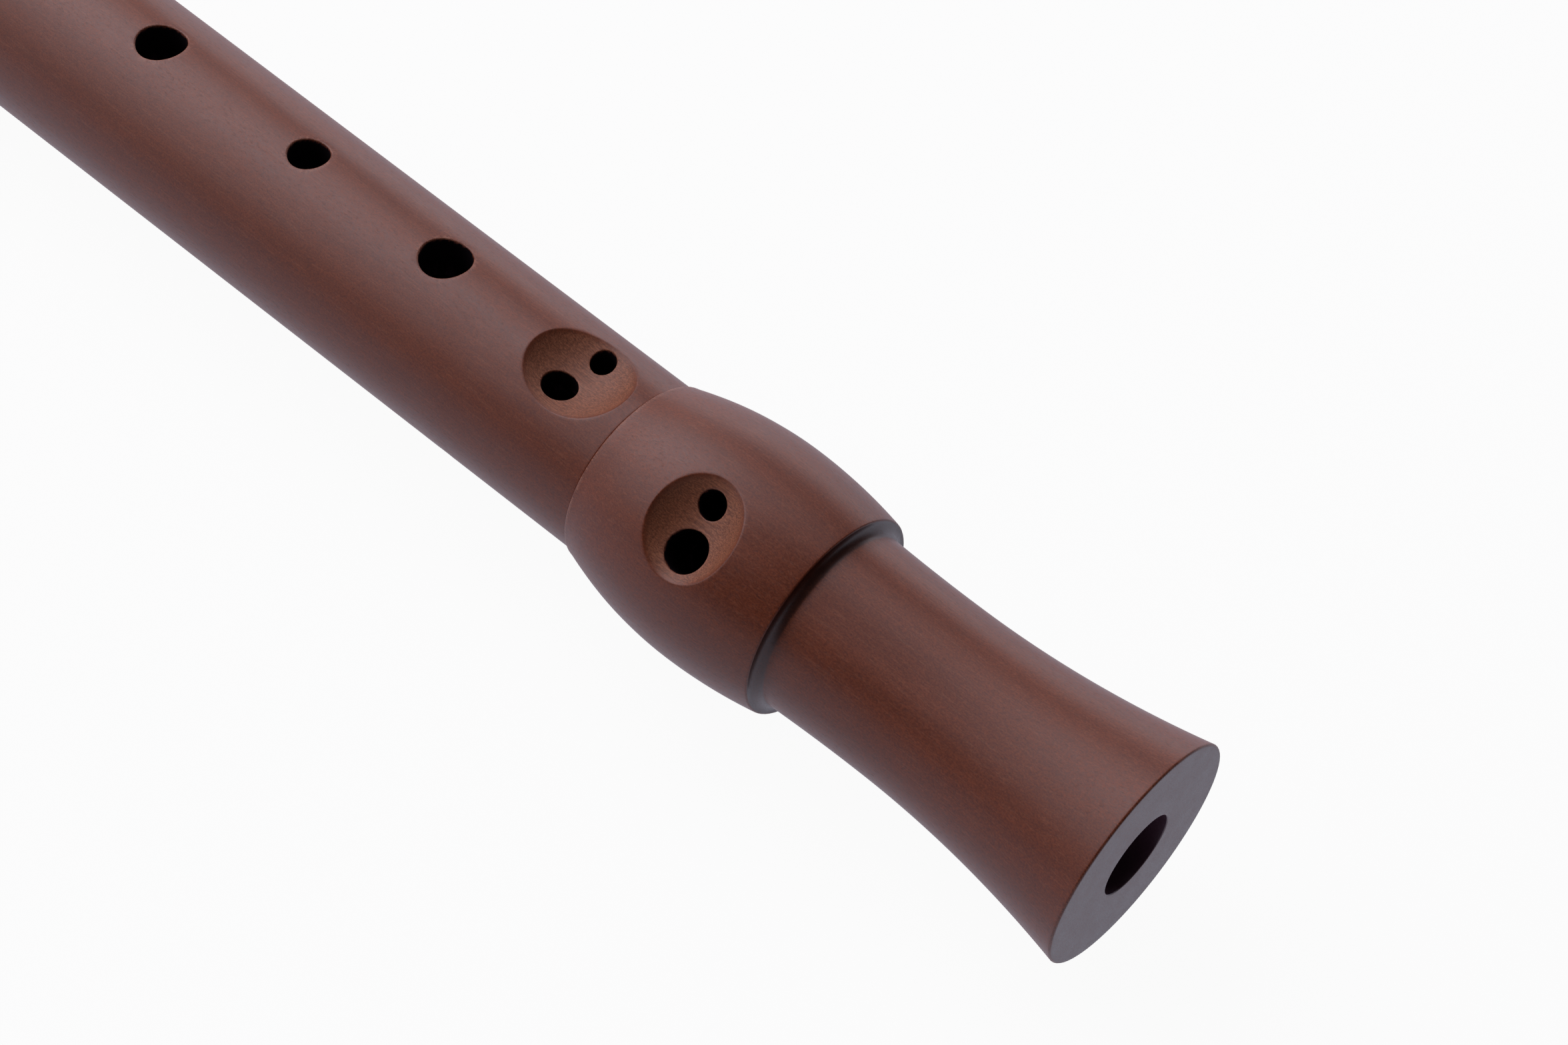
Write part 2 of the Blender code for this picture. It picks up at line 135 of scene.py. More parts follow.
# The cove's share paints the shade under each barrel's step with the near-black bored colour.
# The rim's half of the worn share is rubbed wood, and its paler colour is also a painted highlight on the
# foot's rim.
REAMED, PAINTED_COVE_SHADE, END_GRAIN, RIM_WEAR_AND_HIGHLIGHT = BORED + WORN, 0.62 * BORED, 0.4 * BORED, 0.5 * WORN


def around(x, radius, turn, seam):
    """Points at a distance x from the seam, at a radius and an angle about the bore."""
    x, radius, turn = np.broadcast_arrays(x, radius, turn)
    y = -radius * np.sin(turn)
    z = AXIS_HEIGHT + radius * np.cos(turn)
    return np.stack([seam + x, y, z], axis=-1) * MM


def over(x, right, height, turn, seam):
    """Points in a drill's own frame: how far to its right, and how high over the bore's axis."""
    return around(x, np.hypot(right, height), turn + np.arctan2(right, height), seam)


def cells(rows, columns, close_rows):
    """Corner numbers of every cell of a grid whose rows are closed rings, as rows by columns by four."""
    number = np.arange(rows * columns).reshape(rows, columns)
    steps = ((0, 0), (0, -1), (-1, -1), (-1, 0))
    corners = np.stack([np.roll(number, step, axis=(0, 1)) for step in steps], axis=-1)
    return corners if close_rows else corners[:-1]


print("shares of the reamed bore:", REAMED.tolist(), "and of a cove:", PAINTED_COVE_SHADE.tolist())

# %% [markdown]
# A joint gathers its grids, merges the points that they share, and becomes one closed mesh. The number
# of its open edges should be nought.

# %% Pieces and joints
MERGED = 0.002 * MM
HARD_EDGE = math.radians(32.0)


def new_piece(name, points, faces, made, merged=0.0):
    """An object whose points carry their shares, with shared points merged and faces turned outwards."""
    mesh = bpy.data.meshes.new(name)
    mesh.from_pydata(points.tolist(), [], faces)
    made = np.broadcast_to(made, points.shape).astype(np.float32)
    mesh.attributes.new("made", "FLOAT_VECTOR", "POINT").data.foreach_set("vector", made.ravel())
    work = bmesh.new()
    work.from_mesh(mesh)
    if merged:
        bmesh.ops.remove_doubles(work, verts=work.verts, dist=merged)
    bmesh.ops.recalc_face_normals(work, faces=work.faces)
    work.to_mesh(mesh)
    work.free()
    piece = bpy.data.objects.new(name, mesh)
    bpy.context.scene.collection.objects.link(piece)
    return piece


def shade(piece):
    """Shades a piece smooth, keeps hard edges hard, and prints what the piece measures."""
    mesh = piece.data
    mesh.shade_smooth()
    mesh.set_sharp_from_angle(angle=HARD_EDGE)
    work = bmesh.new()
    work.from_mesh(mesh)
    open_edges = sum(not edge.is_manifold for edge in work.edges)
    volume = work.calc_volume() * 1e6
    work.free()
    print(f"{piece.name}: {len(mesh.polygons)} faces, {open_edges} open edges, {volume:.2f} cm3")


class Joint:
    """A turned joint, with the radius of its outside and of its bore at a place."""

    def __init__(self, name, seam, outline, turns, outer=None, bore=None):
        self.name, self.seam, self.outline, self.turns = name, seam, outline, turns
        self.outer, self.bore = outer, bore
        self.grids = []

    def add(self, points, made, close_rows=False, leave_out=None):
        """Adds a grid whose rows are rings. The cells marked in leave_out stay open for a hole."""
        quads = cells(*points.shape[:2], close_rows)
        quads = quads.reshape(-1, 4) if leave_out is None else quads[~leave_out]
        quads = quads + sum(len(earlier) for earlier, *_ in self.grids)
        made = np.broadcast_to(made, points.shape).reshape(-1, 3)
        self.grids.append((points.reshape(-1, 3), quads, made))

    def turn(self, made, direction=1, blocks=()):
        """Adds the closed outline, carried round the bore, but for the cells of the blocks."""
        x, radius = self.outline.T
        points = around(direction * x[:, None], radius[:, None], self.turns, self.seam)
        self.add(points, made, close_rows=True, leave_out=left_out(len(x), blocks))

    def block(self, places, columns, radius_at):
        """A block of cells between two columns, from the row nearest to its first place to the last one's."""
        x, radius = self.outline.T
        rows = [int(np.argmin(np.hypot(x - end, radius - radius_at(end)))) for end in places[[0, -1]]]
        return sorted(rows), columns

    def pair(self, outside, inside):
        """The blocks of a scoop and, in the bore, of its small and its large hole."""
        bore_blocks = [self.block(inside, columns, self.bore) for columns in PAIR_COLUMNS]
        return [self.block(outside, SINGLE_COLUMNS, self.outer), *bore_blocks]

    def finish(self):
        """Makes one closed mesh of all the grids."""
        points, quads, made = map(np.concatenate, zip(*self.grids))
        piece = new_piece(self.name, points, quads.tolist(), made, MERGED)
        shade(piece)
        return piece


def shares(*kinds):
    """Shares for the rows of an outline: each point has those of the first kind whose rows include it."""
    rows, made = zip(*kinds)
    return np.select([row[:, None] for row in rows], made, TURNED)[:, None]


print("shares of three rows:", shares((np.array([True, False, False]), WORN))[:, 0].tolist())

# %% [markdown]
# ## Drilled holes
#
# A hole must not be a dark spot on a tube. Round each hole a block of cells is left out of the grid,
# and rings of points fill it again from the block's edge down to the drill's circle. The block inside
# the bore is filled in the same way, and the drilled wall joins the two circles. The rings start at the
# block's own points, so nothing is left to close, and the circle keeps the directions in which those
# points are seen from its middle.

# %% Rings from a block's edge to a drill's circle
def block_edge(rows, columns):
    """Grid numbers once round a block of cells between two rows and two columns."""
    grid = np.mgrid[rows[0]:rows[1] + 1, columns[0]:columns[1] + 1]
    sides = [grid[:, 0, :-1], grid[:, :-1, -1], grid[:, -1, :0:-1], grid[:, :0:-1, 0]]
    return np.concatenate(sides, axis=1)


def seen_from(edge, centre):
    """Angles at which the edge's points are seen from a centre, running on without a jump."""
    offset = edge - centre
    return np.unwrap(np.arctan2(offset[:, 1], offset[:, 0]))


def match(edge, angles, centre):
    """The edge run through in the sense of the angles, from the point that lies nearest to the first."""
    seen = seen_from(edge, centre)
    if (seen[-1] - seen[0]) * (angles[-1] - angles[0]) < 0:
        edge, seen = edge[::-1], seen[::-1]
    number = np.arange(len(edge))
    shifts = (number[:, None] + number) % len(edge)
    misfit = np.abs(np.exp(1j * seen[shifts]) - np.exp(1j * angles)).sum(1)
    return edge[shifts[np.argmin(misfit)]]


def circle(centre, radius, angles):
    """Points of a circle at the given angles, as (along, right) pairs."""
    return np.asarray(centre) + radius * np.stack([np.cos(angles), np.sin(angles)], axis=-1)


def blend(outer, inner, steps):
    """Loops of points that pass from the outer loop to the inner one, at the given shares of the way."""
    share = steps[:, None, None]
    return outer * (1 - share) + inner * share


print("a block of 16 by 16 cells has", block_edge((0, 16), (0, 16)).shape[1], "points round it")

# %% [markdown]
# A drill works in a frame of its own: how far a point lies along the bore from its middle, how far to
# its right, and how high over the bore's axis. Its few methods serve every hole of every joint.

# %% The drill
RING_STEPS = np.array([0, 0.12, 0.26, 0.42, 0.58, 0.74, 0.88, 1.0])
WALL_STEPS = np.array([0, 0.05, 0.15, 0.4, 0.7, 1])
HOLE_EDGE = 0.22


def tube_height(radius, right):
    """Height of a round surface over the bore's axis at a distance to the right."""
    return np.sqrt(np.maximum(radius * radius - right * right, 0))


class Drill:
    """A drill over a joint, at a place along the bore and an angle about it."""

    def __init__(self, joint, place, turn):
        self.joint, self.place, self.turn = joint, place, turn

    def edge(self, block):
        """A block's edge as (along, right) pairs from the drill."""
        row, column = block_edge(*block)
        x, radius = self.joint.outline[row].T
        right = radius * np.sin(self.joint.turns[row, column % LINES_ROUND] - self.turn)
        return np.stack([x - self.place, right], axis=-1)

    def on(self, radius_at):
        """The function that gives a turned surface's height under the drill."""
        return lambda along, right: tube_height(radius_at(self.place + along), right)

    def add(self, along, right, height, made):
        self.joint.add(over(self.place + along, right, height, self.turn, self.joint.seam), made)

    def lay(self, loops, surface, made, drop=0.0):
        """Adds loops of (along, right) points on a surface or a drop below it, and returns their heights."""
        along, right = loops[..., 0], loops[..., 1]
        height = surface(along, right) - drop
        self.add(along, right, height, made)
        return height

    def lip(self, centre, radius, edge_radius, angles, surface, made):
        """The lip of a hole. It rolls over from the surface into the wall in a quarter of a circle."""
        roll = np.radians(np.linspace(0, 90, 5))
        out = radius + edge_radius * (1 - np.sin(roll))
        drop = edge_radius * (1 - np.cos(roll))[:, None]
        return self.lay(circle(centre, out[:, None, None], angles), surface, made, drop)[-1]

    def through(self, block, centre, radius, angles, top):
        """Rings in the bore round a hole's foot, and its wall, straight down from the heights of its lip."""
        foot = circle(centre, radius, angles)
        rings = blend(match(self.edge(block), angles, centre), foot, RING_STEPS)
        bottom = self.lay(rings, self.on(self.joint.bore), REAMED)[-1]
        share = WALL_STEPS[:, None]
        # The wall takes the bored share, whose near-black colour paints the shade inside the hole.
        self.add(*foot.T[:, None], top * (1 - share) + bottom * share, BORED)

    def hole(self, blocks, radius):
        """A single hole from the block outside to the one in the bore, with its lip rounded over."""
        centre, surface, edge = (0, 0), self.on(self.joint.outer), self.edge(blocks[0])
        angles = seen_from(edge, centre)
        lip = circle(centre, radius + HOLE_EDGE, angles)
        self.lay(blend(edge, lip, RING_STEPS), surface, TURNED)
        top = self.lip(centre, radius, HOLE_EDGE, angles, surface, WORN)
        self.through(blocks[1], centre, radius, angles, top)


print(f"a tube of radius 5 is {tube_height(5.0, 3.0):.0f} high at 3 to the right")

# %% [markdown]
# ## Scoops
#
# The sixth and the seventh hole are pairs. Each pair lies in a scoop, so that one finger can cover it.
# A scoop is a stretched ball that is cut out of the tube. Its floor's height over the bore is the
# ball's middle less its own height times the root of what the squares of the two other shares leave of
# one. The rim is where floor and tube are equally high. It is found along rays from the scoop's middle
# by halving the span again and again, for all rays at once.

# %% The floor and the rim of a scoop
SCOOP_ROUNDING = 7.0
RIM_EDGE = 0.10
PAST_RIM = 9.0
HALVINGS = 40


def halved(low, high, passes):
    """Where a test stops to pass between low and high, found by halving the span again and again."""
    for _ in range(HALVINGS):
        half = (low + high) / 2
        passed = passes(half)
        low, high = np.where(passed, half, low), np.where(passed, high, half)
    return low


class Scoop:
    """A stretched ball cut into a tube, by the half-length and half-width of its rim and its depth."""

    def __init__(self, place, turn, radius_at, half_length, half_width, depth):
        self.place, self.turn, self.radius_at = place, turn, radius_at
        outer = radius_at(place)
        self.middle = outer - depth + SCOOP_ROUNDING
        side = self.middle - tube_height(outer, half_width)
        self.length = half_length / math.sqrt(1 - ((self.middle - outer) / SCOOP_ROUNDING) ** 2)
        self.width = half_width / math.sqrt(1 - (side / SCOOP_ROUNDING) ** 2)

    def tube(self, along, right):
        return tube_height(self.radius_at(self.place + along), right)

    def floor(self, along, right):
        left_over = 1 - (along / self.length) ** 2 - (right / self.width) ** 2
        return self.middle - SCOOP_ROUNDING * np.sqrt(np.maximum(left_over, 0))

    def surface(self, along, right):
        """The lower of tube and floor. Where they are nearly equal, a parabola takes the edge off the rim."""
        tube, floor = self.tube(along, right), self.floor(along, right)
        near = np.maximum(RIM_EDGE - np.abs(tube - floor), 0)
        return np.minimum(tube, floor) - near * near / (4 * RIM_EDGE)

    def rim(self, angles):
        """Rim points at the given angles about the scoop's middle."""
        ray = circle((0, 0), 1, angles)
        near = np.zeros(len(angles))

        def inside(reach):
            point = (ray * reach[:, None]).T
            return self.tube(*point) > self.floor(*point)

        return ray * halved(near, near + PAST_RIM, inside)[:, None]

    def rim_angles(self, right):
        """Angles of the two rim points at a distance to the right, ahead of the middle and behind it."""
        start, sign = np.array([0, math.pi]), np.array([1, -1])
        quarter = np.full(2, math.pi / 2)
        half = halved(-quarter, quarter, lambda half: self.rim(start + sign * half)[:, 1] < right)
        return start + sign * half


print(f"a rim is found to {PAST_RIM / 2 ** HALVINGS:.0e} mm in {HALVINGS} halvings")

# %% [markdown]
# The floor holds two holes, so rings alone can't fill it. A straight line between the holes parts the
# floor in two. Each half is bounded by its share of the rim and by that line, and rings run from there
# to the hole's circle. Both halves have the same points on the line, so they close.

# %% The surface of a scoop with its two holes
RIM_POINTS = 64
PARTING_POINTS = 12
RIM_STEPS = np.array([0, 0.2, 0.4, 0.6, 0.78, 0.9, 0.965, 1.0])
FLOOR_STEPS = np.array([0, 0.03, 0.08, 0.16, 0.28, 0.42, 0.56, 0.7, 0.82, 0.92, 1.0])
DOUBLE_HOLE_EDGE = 0.12
MILLED_DEPTH = 0.5


def double_hole(joint, scoop, blocks, holes):
    """Fills the block round a scoop, and drills its two holes down to their blocks in the bore.

    The share of milled finish grows evenly from the rim to a depth of half a millimetre.
    """
    drill = Drill(joint, scoop.place, scoop.turn)
    small, large = holes
    ahead, behind = scoop.rim_angles((small[1] + small[2] / 2 + large[1] - large[2] / 2) / 2)
    right_arc = np.linspace(ahead, behind, RIM_POINTS // 2 + 1)
    left_arc = np.linspace(behind, ahead + 2 * math.pi, RIM_POINTS // 2 + 1)
    angles = np.concatenate([right_arc[:-1], left_arc[:-1]])
    outside = blend(match(drill.edge(blocks[0]), angles, (0, 0)), scoop.rim(angles), RIM_STEPS)
    drill.lay(outside, scoop.surface, TURNED)
    start, end = scoop.rim(right_arc[[0, -1]])
    share = np.linspace(0, 1, PARTING_POINTS + 1)[1:-1, None]
    parting = end * (1 - share) + start * share
    drilled = []
    sides = ((large, blocks[2], right_arc, parting), (small, blocks[1], left_arc, parting[::-1]))
    for hole, block, arc, line in sides:
        bound = np.concatenate([scoop.rim(arc), line])
        centre, radius = hole[:2], hole[2] / 2
        seen = seen_from(bound, centre)
        loops = blend(bound, circle(centre, radius + DOUBLE_HOLE_EDGE, seen), FLOOR_STEPS)
        along, right = loops[..., 0], loops[..., 1]
        depth = scoop.tube(along, right) - scoop.surface(along, right)
        drill.lay(loops, scoop.surface, np.clip(depth / MILLED_DEPTH, 0, 1)[..., None] * MILLED)
        top = drill.lip(centre, radius, DOUBLE_HOLE_EDGE, seen, scoop.surface, MILLED + WORN)
        drilled.append((block, centre, radius, seen, top))
    for hole in drilled:
        drill.through(*hole)


print("rings on a scoop's floor:", len(FLOOR_STEPS), "and outside its rim:", len(RIM_STEPS))

# %% [markdown]
# ## Lines of the grid
#
# A block of cells can only be left out where lines of the grid run along its sides. So the lines along
# the bore are gathered from all blocks, and wide spaces between them are filled evenly. The lines round
# the bore are a layout of angles, and layouts pass into each other between the holes: a line then runs
# slightly askew.

# %% Lines along the bore and round it
LINES_ROUND = 80
SINGLE_COLUMNS = (0, 16)
THUMB_COLUMNS = (40, 56)
PAIR_LINES = (-3, 8, 19)
PAIR_COLUMNS = (PAIR_LINES[:2], PAIR_LINES[1:])


def lines_along(start, end, blocks, widest):
    """Places from start to end with every block's own lines, and even lines in spaces over the widest."""
    fixed = np.unique(np.round(np.concatenate([[start, end]] + blocks), 6))
    spans = np.diff(fixed)
    extra = np.maximum(np.ceil(spans / widest).astype(int), 1)
    number = np.arange(extra.sum()) - np.repeat(np.cumsum(extra) - extra, extra)
    return np.append(np.repeat(fixed[:-1], extra) + np.repeat(spans / extra, extra) * number, end)


def layout(columns, degrees):
    """Angles of all lines round the bore, even between the given columns, once round."""
    columns = [*columns, columns[0] + LINES_ROUND]
    degrees = [*degrees, degrees[0] + 360]
    number = columns[0] + (np.arange(LINES_ROUND) - columns[0]) % LINES_ROUND
    turns = np.interp(number, columns, degrees)
    return np.radians(turns - 360.0 * (number >= LINES_ROUND))


def eased(share):
    """A share of a way that starts and ends slowly."""
    share = np.clip(share, 0, 1)
    return share * share * (3 - 2 * share)


def between(share, first, second):
    """Layouts that pass smoothly from the first to the second one as the share goes from 0 to 1."""
    share = eased(share)[:, None]
    return first * (1 - share) + second * share


def left_out(row_count, blocks):
    """Marks the cells of all blocks, each given by its rows and its columns."""
    marks = np.zeros((row_count, LINES_ROUND), bool)
    for (top, bottom), (left, right) in blocks:
        marks[top:bottom, np.arange(left, right) % LINES_ROUND] = True
    return marks


even = layout((0, 40), (0, 180))
print("an even layout starts at", np.round(np.degrees(even[:4]), 2).tolist(), "degrees")

# %% [markdown]
# ## Middle joint
#
# The middle joint is a straight tapered tube with a tenon at each end. It carries five single holes,
# the thumb hole underneath and the sixth pair in its scoop near the seam. Its bore tapers the same way.

# %% Measures of the middle joint
MIDDLE_LENGTH = FOOT_SEAM - HEAD_SEAM
UPPER_RADIUS, LOWER_RADIUS = 11.55, 10.5
TAPER = (LOWER_RADIUS - UPPER_RADIUS) / MIDDLE_LENGTH
LOWER_TENON = {"length": 11.5, "radius": 8.2, "cork": (2.0, 8.6)}
UPPER_TENON = {"length": 24.0, "radius": 8.9, "cork": (4.0, 19.0)}
CORK_PROUD, CORK_THICKNESS, CORK_CLEARANCE = 0.3, 1.0, 0.3
UPPER_END, UPPER_BORE = -162.0, 6.3
LOWER_END, LOWER_BORE = LOWER_TENON["length"], 5.3
FINGER_HOLES = ((-114.0, 5.0), (-94.8, 5.6), (-75.5, 5.8), (-50.7, 4.7), (-29.0, 5.85))
THUMB_HOLE = (-122.0, 5.5)
SIXTH_HOLES = ((-0.1, -3.4, 2.85), (-1.3, 1.8, 3.9))
SIXTH_TURN = 5.6


def straight(x, start, start_radius, end, end_radius):
    """A radius that changes evenly from one place to another."""
    return start_radius + (end_radius - start_radius) * (x - start) / (end - start)


def middle_radius(x):
    return LOWER_RADIUS + TAPER * x


def middle_bore(x):
    return straight(x, UPPER_END, UPPER_BORE, LOWER_END, LOWER_BORE)


sixth = Scoop(-7.9, math.radians(SIXTH_TURN), middle_radius, 6.3, 5.3, 2.5)
print(f"middle joint {MIDDLE_LENGTH:.1f} mm, its scoop's ball {sixth.length:.2f} by {sixth.width:.2f} mm")

# %% [markdown]
# A tenon steps down from the shoulder, with a groove for its band of cork. Both tenons are the same
# form, so one function gives the corners of either. The whole outline then runs once round: outside
# from the head to the foot, over the lower tenon, back through the bore and over the upper tenon.
#
# Each single hole needs a block of sixteen cells each way. The blocks of the thumb hole and the first
# finger hole overlap along the bore, and their lines fall together when a cell is an eleventh of the
# way between the two holes.

# %% Outline of the middle joint
CELL = (FINGER_HOLES[0][0] - THUMB_HOLE[0]) / 11
SHOULDER_EDGE, GROOVE_EDGE, TENON_EDGE = 0.15, 0.1, 0.5
WIDEST_OUTSIDE, WIDEST_INSIDE = 2.6, 4.0


def tenon_corners(tenon):
    """From the shoulder over the groove to the tenon's end."""
    start, end = tenon["cork"][0] - CORK_CLEARANCE, tenon["cork"][1] + CORK_CLEARANCE
    radius = tenon["radius"]
    depth = radius + CORK_PROUD - CORK_THICKNESS - CORK_CLEARANCE
    corners = [(0, radius, 0), (start, radius, GROOVE_EDGE), (start, depth, 0), (end, depth, 0)]
    return corners + [(end, radius, GROOVE_EDGE), (tenon["length"], radius, TENON_EDGE)]


single_holes = [(*hole, SINGLE_COLUMNS, 0.0) for hole in FINGER_HOLES]
single_holes.append((*THUMB_HOLE, THUMB_COLUMNS, math.pi))
single_blocks = [np.linspace(place - 8 * CELL, place + 8 * CELL, 17) for place, *_ in single_holes]
sixth_block = np.linspace(-15.6, -0.75, 17)
sixth_bore_block = np.linspace(sixth.place - 4.2, sixth.place + 2.3, 12)
outside = lines_along(-MIDDLE_LENGTH + 0.4, -0.35, single_blocks + [sixth_block], WIDEST_OUTSIDE)
inside = lines_along(-160.0, 10.0, single_blocks + [sixth_bore_block], WIDEST_INSIDE)[::-1]
upper = [(-MIDDLE_LENGTH - x, radius, arc) for x, radius, arc in tenon_corners(UPPER_TENON)]
middle_corners = [(-MIDDLE_LENGTH, UPPER_RADIUS, SHOULDER_EDGE)] + plain(outside, middle_radius(outside))
middle_corners += [(0.0, LOWER_RADIUS, SHOULDER_EDGE)] + tenon_corners(LOWER_TENON)
middle_corners += [(LOWER_END, LOWER_BORE, SHOULDER_EDGE)] + plain(inside, middle_bore(inside))
middle_corners += [(UPPER_END, UPPER_BORE, SHOULDER_EDGE)] + upper[::-1]
middle_outline = soften(middle_corners)
print("outline of the middle joint:", len(middle_outline), "points")

# %% [markdown]
# The rows of the grid are these points. Their columns are angles from a layout: on the outside the
# block round the scoop is turned with the scoop, and in the bore two narrower blocks lie side by side
# there, one for each hole of the pair. The layouts pass into each other above the scoop.

# %% Grid of the middle joint
PASSING_START, PASSING_OUTSIDE, PASSING_INSIDE = -23.0, 7.0, 10.0

single_outside = layout((0, 16, 40, 56), (-40, 40, 140, 220))
single_inside = layout((0, 16, 40, 56), (-62, 62, 118, 242))
scoop_outside = layout((0, 16), (SIXTH_TURN - 47, SIXTH_TURN + 47))
pair_inside = layout(PAIR_LINES, np.degrees(sixth.turn) + np.array([-80, -8, 58]))

x, radius = middle_outline.T
reamed_rows = radius < 6.5
passing = x - PASSING_START
turns_outside = between(passing / PASSING_OUTSIDE, single_outside, scoop_outside)
turns_inside = between(passing / PASSING_INSIDE, single_inside, pair_inside)
middle_turns = np.where(reamed_rows[:, None], turns_inside, turns_outside)
middle = Joint("middle_joint_turned", FOOT_SEAM, middle_outline, middle_turns, middle_radius, middle_bore)
hole_blocks = []
for places, (_, _, columns, _) in zip(single_blocks, single_holes):
    hole_blocks.append([middle.block(places, columns, at) for at in (middle.outer, middle.bore)])
sixth_blocks = middle.pair(sixth_block, sixth_bore_block)
print("rows of the blocks outside:", [outer[0] for outer, _ in hole_blocks], "and", sixth_blocks[0][0])

# %% [markdown]
# The tube is added without the cells of its blocks, and the drill fills each block again.

# %% Drill the middle joint
open_blocks = [block for blocks in hole_blocks for block in blocks] + sixth_blocks
middle.turn(shares((reamed_rows, REAMED)), blocks=open_blocks)
for (place, diameter, _, turn), blocks in zip(single_holes, hole_blocks):
    Drill(middle, place, turn).hole(blocks, diameter / 2)
double_hole(middle, sixth, sixth_blocks, SIXTH_HOLES)
middle_piece = middle.finish()
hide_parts("middle_joint")
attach(middle_piece, "middle")

# %% [markdown]
# ## Foot joint
#
# The foot is what the eye meets first: a barrel over the tenon, a step down with a cove at its root,
# and a waist that flares to a broad flat end. Barrel and flare are parabolas that are level at their
# widest and narrowest place. The seventh pair of holes is turned towards the player's right, so the
# little finger reaches it.

# %% Outline of the foot joint
FOOT_LENGTH = foot_high.x / MM - FOOT_SEAM
FOOT = {
    "mouth": (SEAM_GAP, 10.9), "widest": (14.5, AXIS_HEIGHT), "lip": (26.6, 11.9), "step": (26.6, 10.5),
    "waist": (40.0, 10.12), "end": (FOOT_LENGTH, 12.95),
}
LOWER_SOCKET = LOWER_TENON["radius"] + CORK_PROUD + CORK_CLEARANCE
SOCKET_FLOOR, FOOT_BORE_TOP, FOOT_BORE_END = 11.8, 5.2, 4.7
FOOT_TURN = 38.0
SEVENTH_HOLES = ((-0.3, -2.9, 3.15), (0.35, 2.3, 4.7))
MOUTH_EDGE, SOCKET_EDGE, LIP_EDGE, COVE_ARC = 0.22, 0.2, 0.2, 1.1
TURNING = 0.9


def bow(x, level, before, after):
    """Two half parabolas, level where they meet, to one (place, radius) before it and one after it."""
    place, radius = np.moveaxis(np.where(np.less(x, level[0])[..., None], before, after), -1, 0)
    return level[1] + (radius - level[1]) * ((x - level[0]) / (place - level[0])) ** 2


def foot_barrel(x):
    return bow(x, FOOT["widest"], FOOT["mouth"], FOOT["lip"])


def foot_flare(x):
    return bow(x, FOOT["waist"], FOOT["step"], FOOT["end"])


def foot_bore(x):
    return straight(x, SOCKET_FLOOR, FOOT_BORE_TOP, FOOT_LENGTH, FOOT_BORE_END)


def barrel_corners(shape, radius_at, blocks):
    """A barrel's mouth, its side, the lip at its end and, cut a little under it, the root of the cove."""
    length, step = shape["step"]
    x = lines_along(SEAM_LINE + 0.5, length - 0.6, blocks, TURNING)
    corners = [(SEAM_LINE, shape["mouth"][1], MOUTH_EDGE)] + plain(x, radius_at(x))
    return corners + [(*shape["lip"], LIP_EDGE), (length - 0.1, step - 0.06, COVE_ARC)]


def socket_corners(floor, bore, socket, rows):
    """From the bore over the socket's floor to its mouth, and rows over the face at the seam."""
    corners = [(floor, bore, 0), (floor, socket, 0), (SEAM_LINE, socket, SOCKET_EDGE)]
    return corners + plain(SEAM_LINE, rows)


seventh = Scoop(14.4, math.radians(FOOT_TURN), foot_barrel, 5.3, 5.8, 2.4)
seventh_block = np.linspace(seventh.place - 6.7, seventh.place + 6.7, 17)
seventh_bore_block = np.linspace(12.1, 17.9, 12)
flare = lines_along(FOOT["step"][0] + 1.4, FOOT_LENGTH - 0.5, [], TURNING)
inside = lines_along(12.0, FOOT_LENGTH - 0.8, [seventh_bore_block], WIDEST_INSIDE)[::-1]
foot_corners = barrel_corners(FOOT, foot_barrel, [seventh_block]) + plain(flare, foot_flare(flare))
foot_corners += [(*FOOT["end"], MOUTH_EDGE)]
foot_corners += plain(FOOT_LENGTH, [12.4, 11.9, 9.5, 7.0, 5.4, 5.0]) + [(FOOT_LENGTH, FOOT_BORE_END, 0.12)]
foot_corners += plain(inside, foot_bore(inside))
foot_corners += socket_corners(SOCKET_FLOOR, FOOT_BORE_TOP, LOWER_SOCKET, [9.4, 10.4])
foot_outline = soften(foot_corners)
print(f"foot joint {FOOT_LENGTH:.2f} mm, outline of {len(foot_outline)} points")

# %% [markdown]
# The foot's finish follows its rows: the bore, the socket, the worn mouth and the cove, as the head's will.
# Socket and cove take the near-black colour that paints their shade.
# Two kinds more are its own: the end grain round the bore, and the rubbed rim round that, whose paler colour
# is also a painted highlight on the rim's edge.

# %% Foot joint with its pair of holes
COVE_SHADE_REACH = 0.8


def joint_kinds(shape, outline, length, bore, socket):
    """Rows and shares of a joint with a barrel: its bore, its worn mouth, and its socket and cove in painted
    shade.
    """
    x, radius = outline.T
    inside = x < length
    # The cove's rows take most of the near-black bored colour, which paints the shade under the step.
    cove = (np.abs(x - shape["lip"][0]) < COVE_SHADE_REACH) & (radius < shape["lip"][1] - 0.15)
    worn = (x < 0.3) & (radius > shape["mouth"][1] - 0.3)
    kinds = [(inside & (radius < bore), REAMED), (inside & (radius < socket), BORED)]
    return kinds + [(worn, WORN), (cove, PAINTED_COVE_SHADE)]


x, radius = foot_outline.T
foot_kinds = joint_kinds(FOOT, foot_outline, FOOT_LENGTH - 0.05, 5.5, 9.5)
foot_kinds.append(((x > FOOT_LENGTH - 0.05) & (radius < 12.7), END_GRAIN))
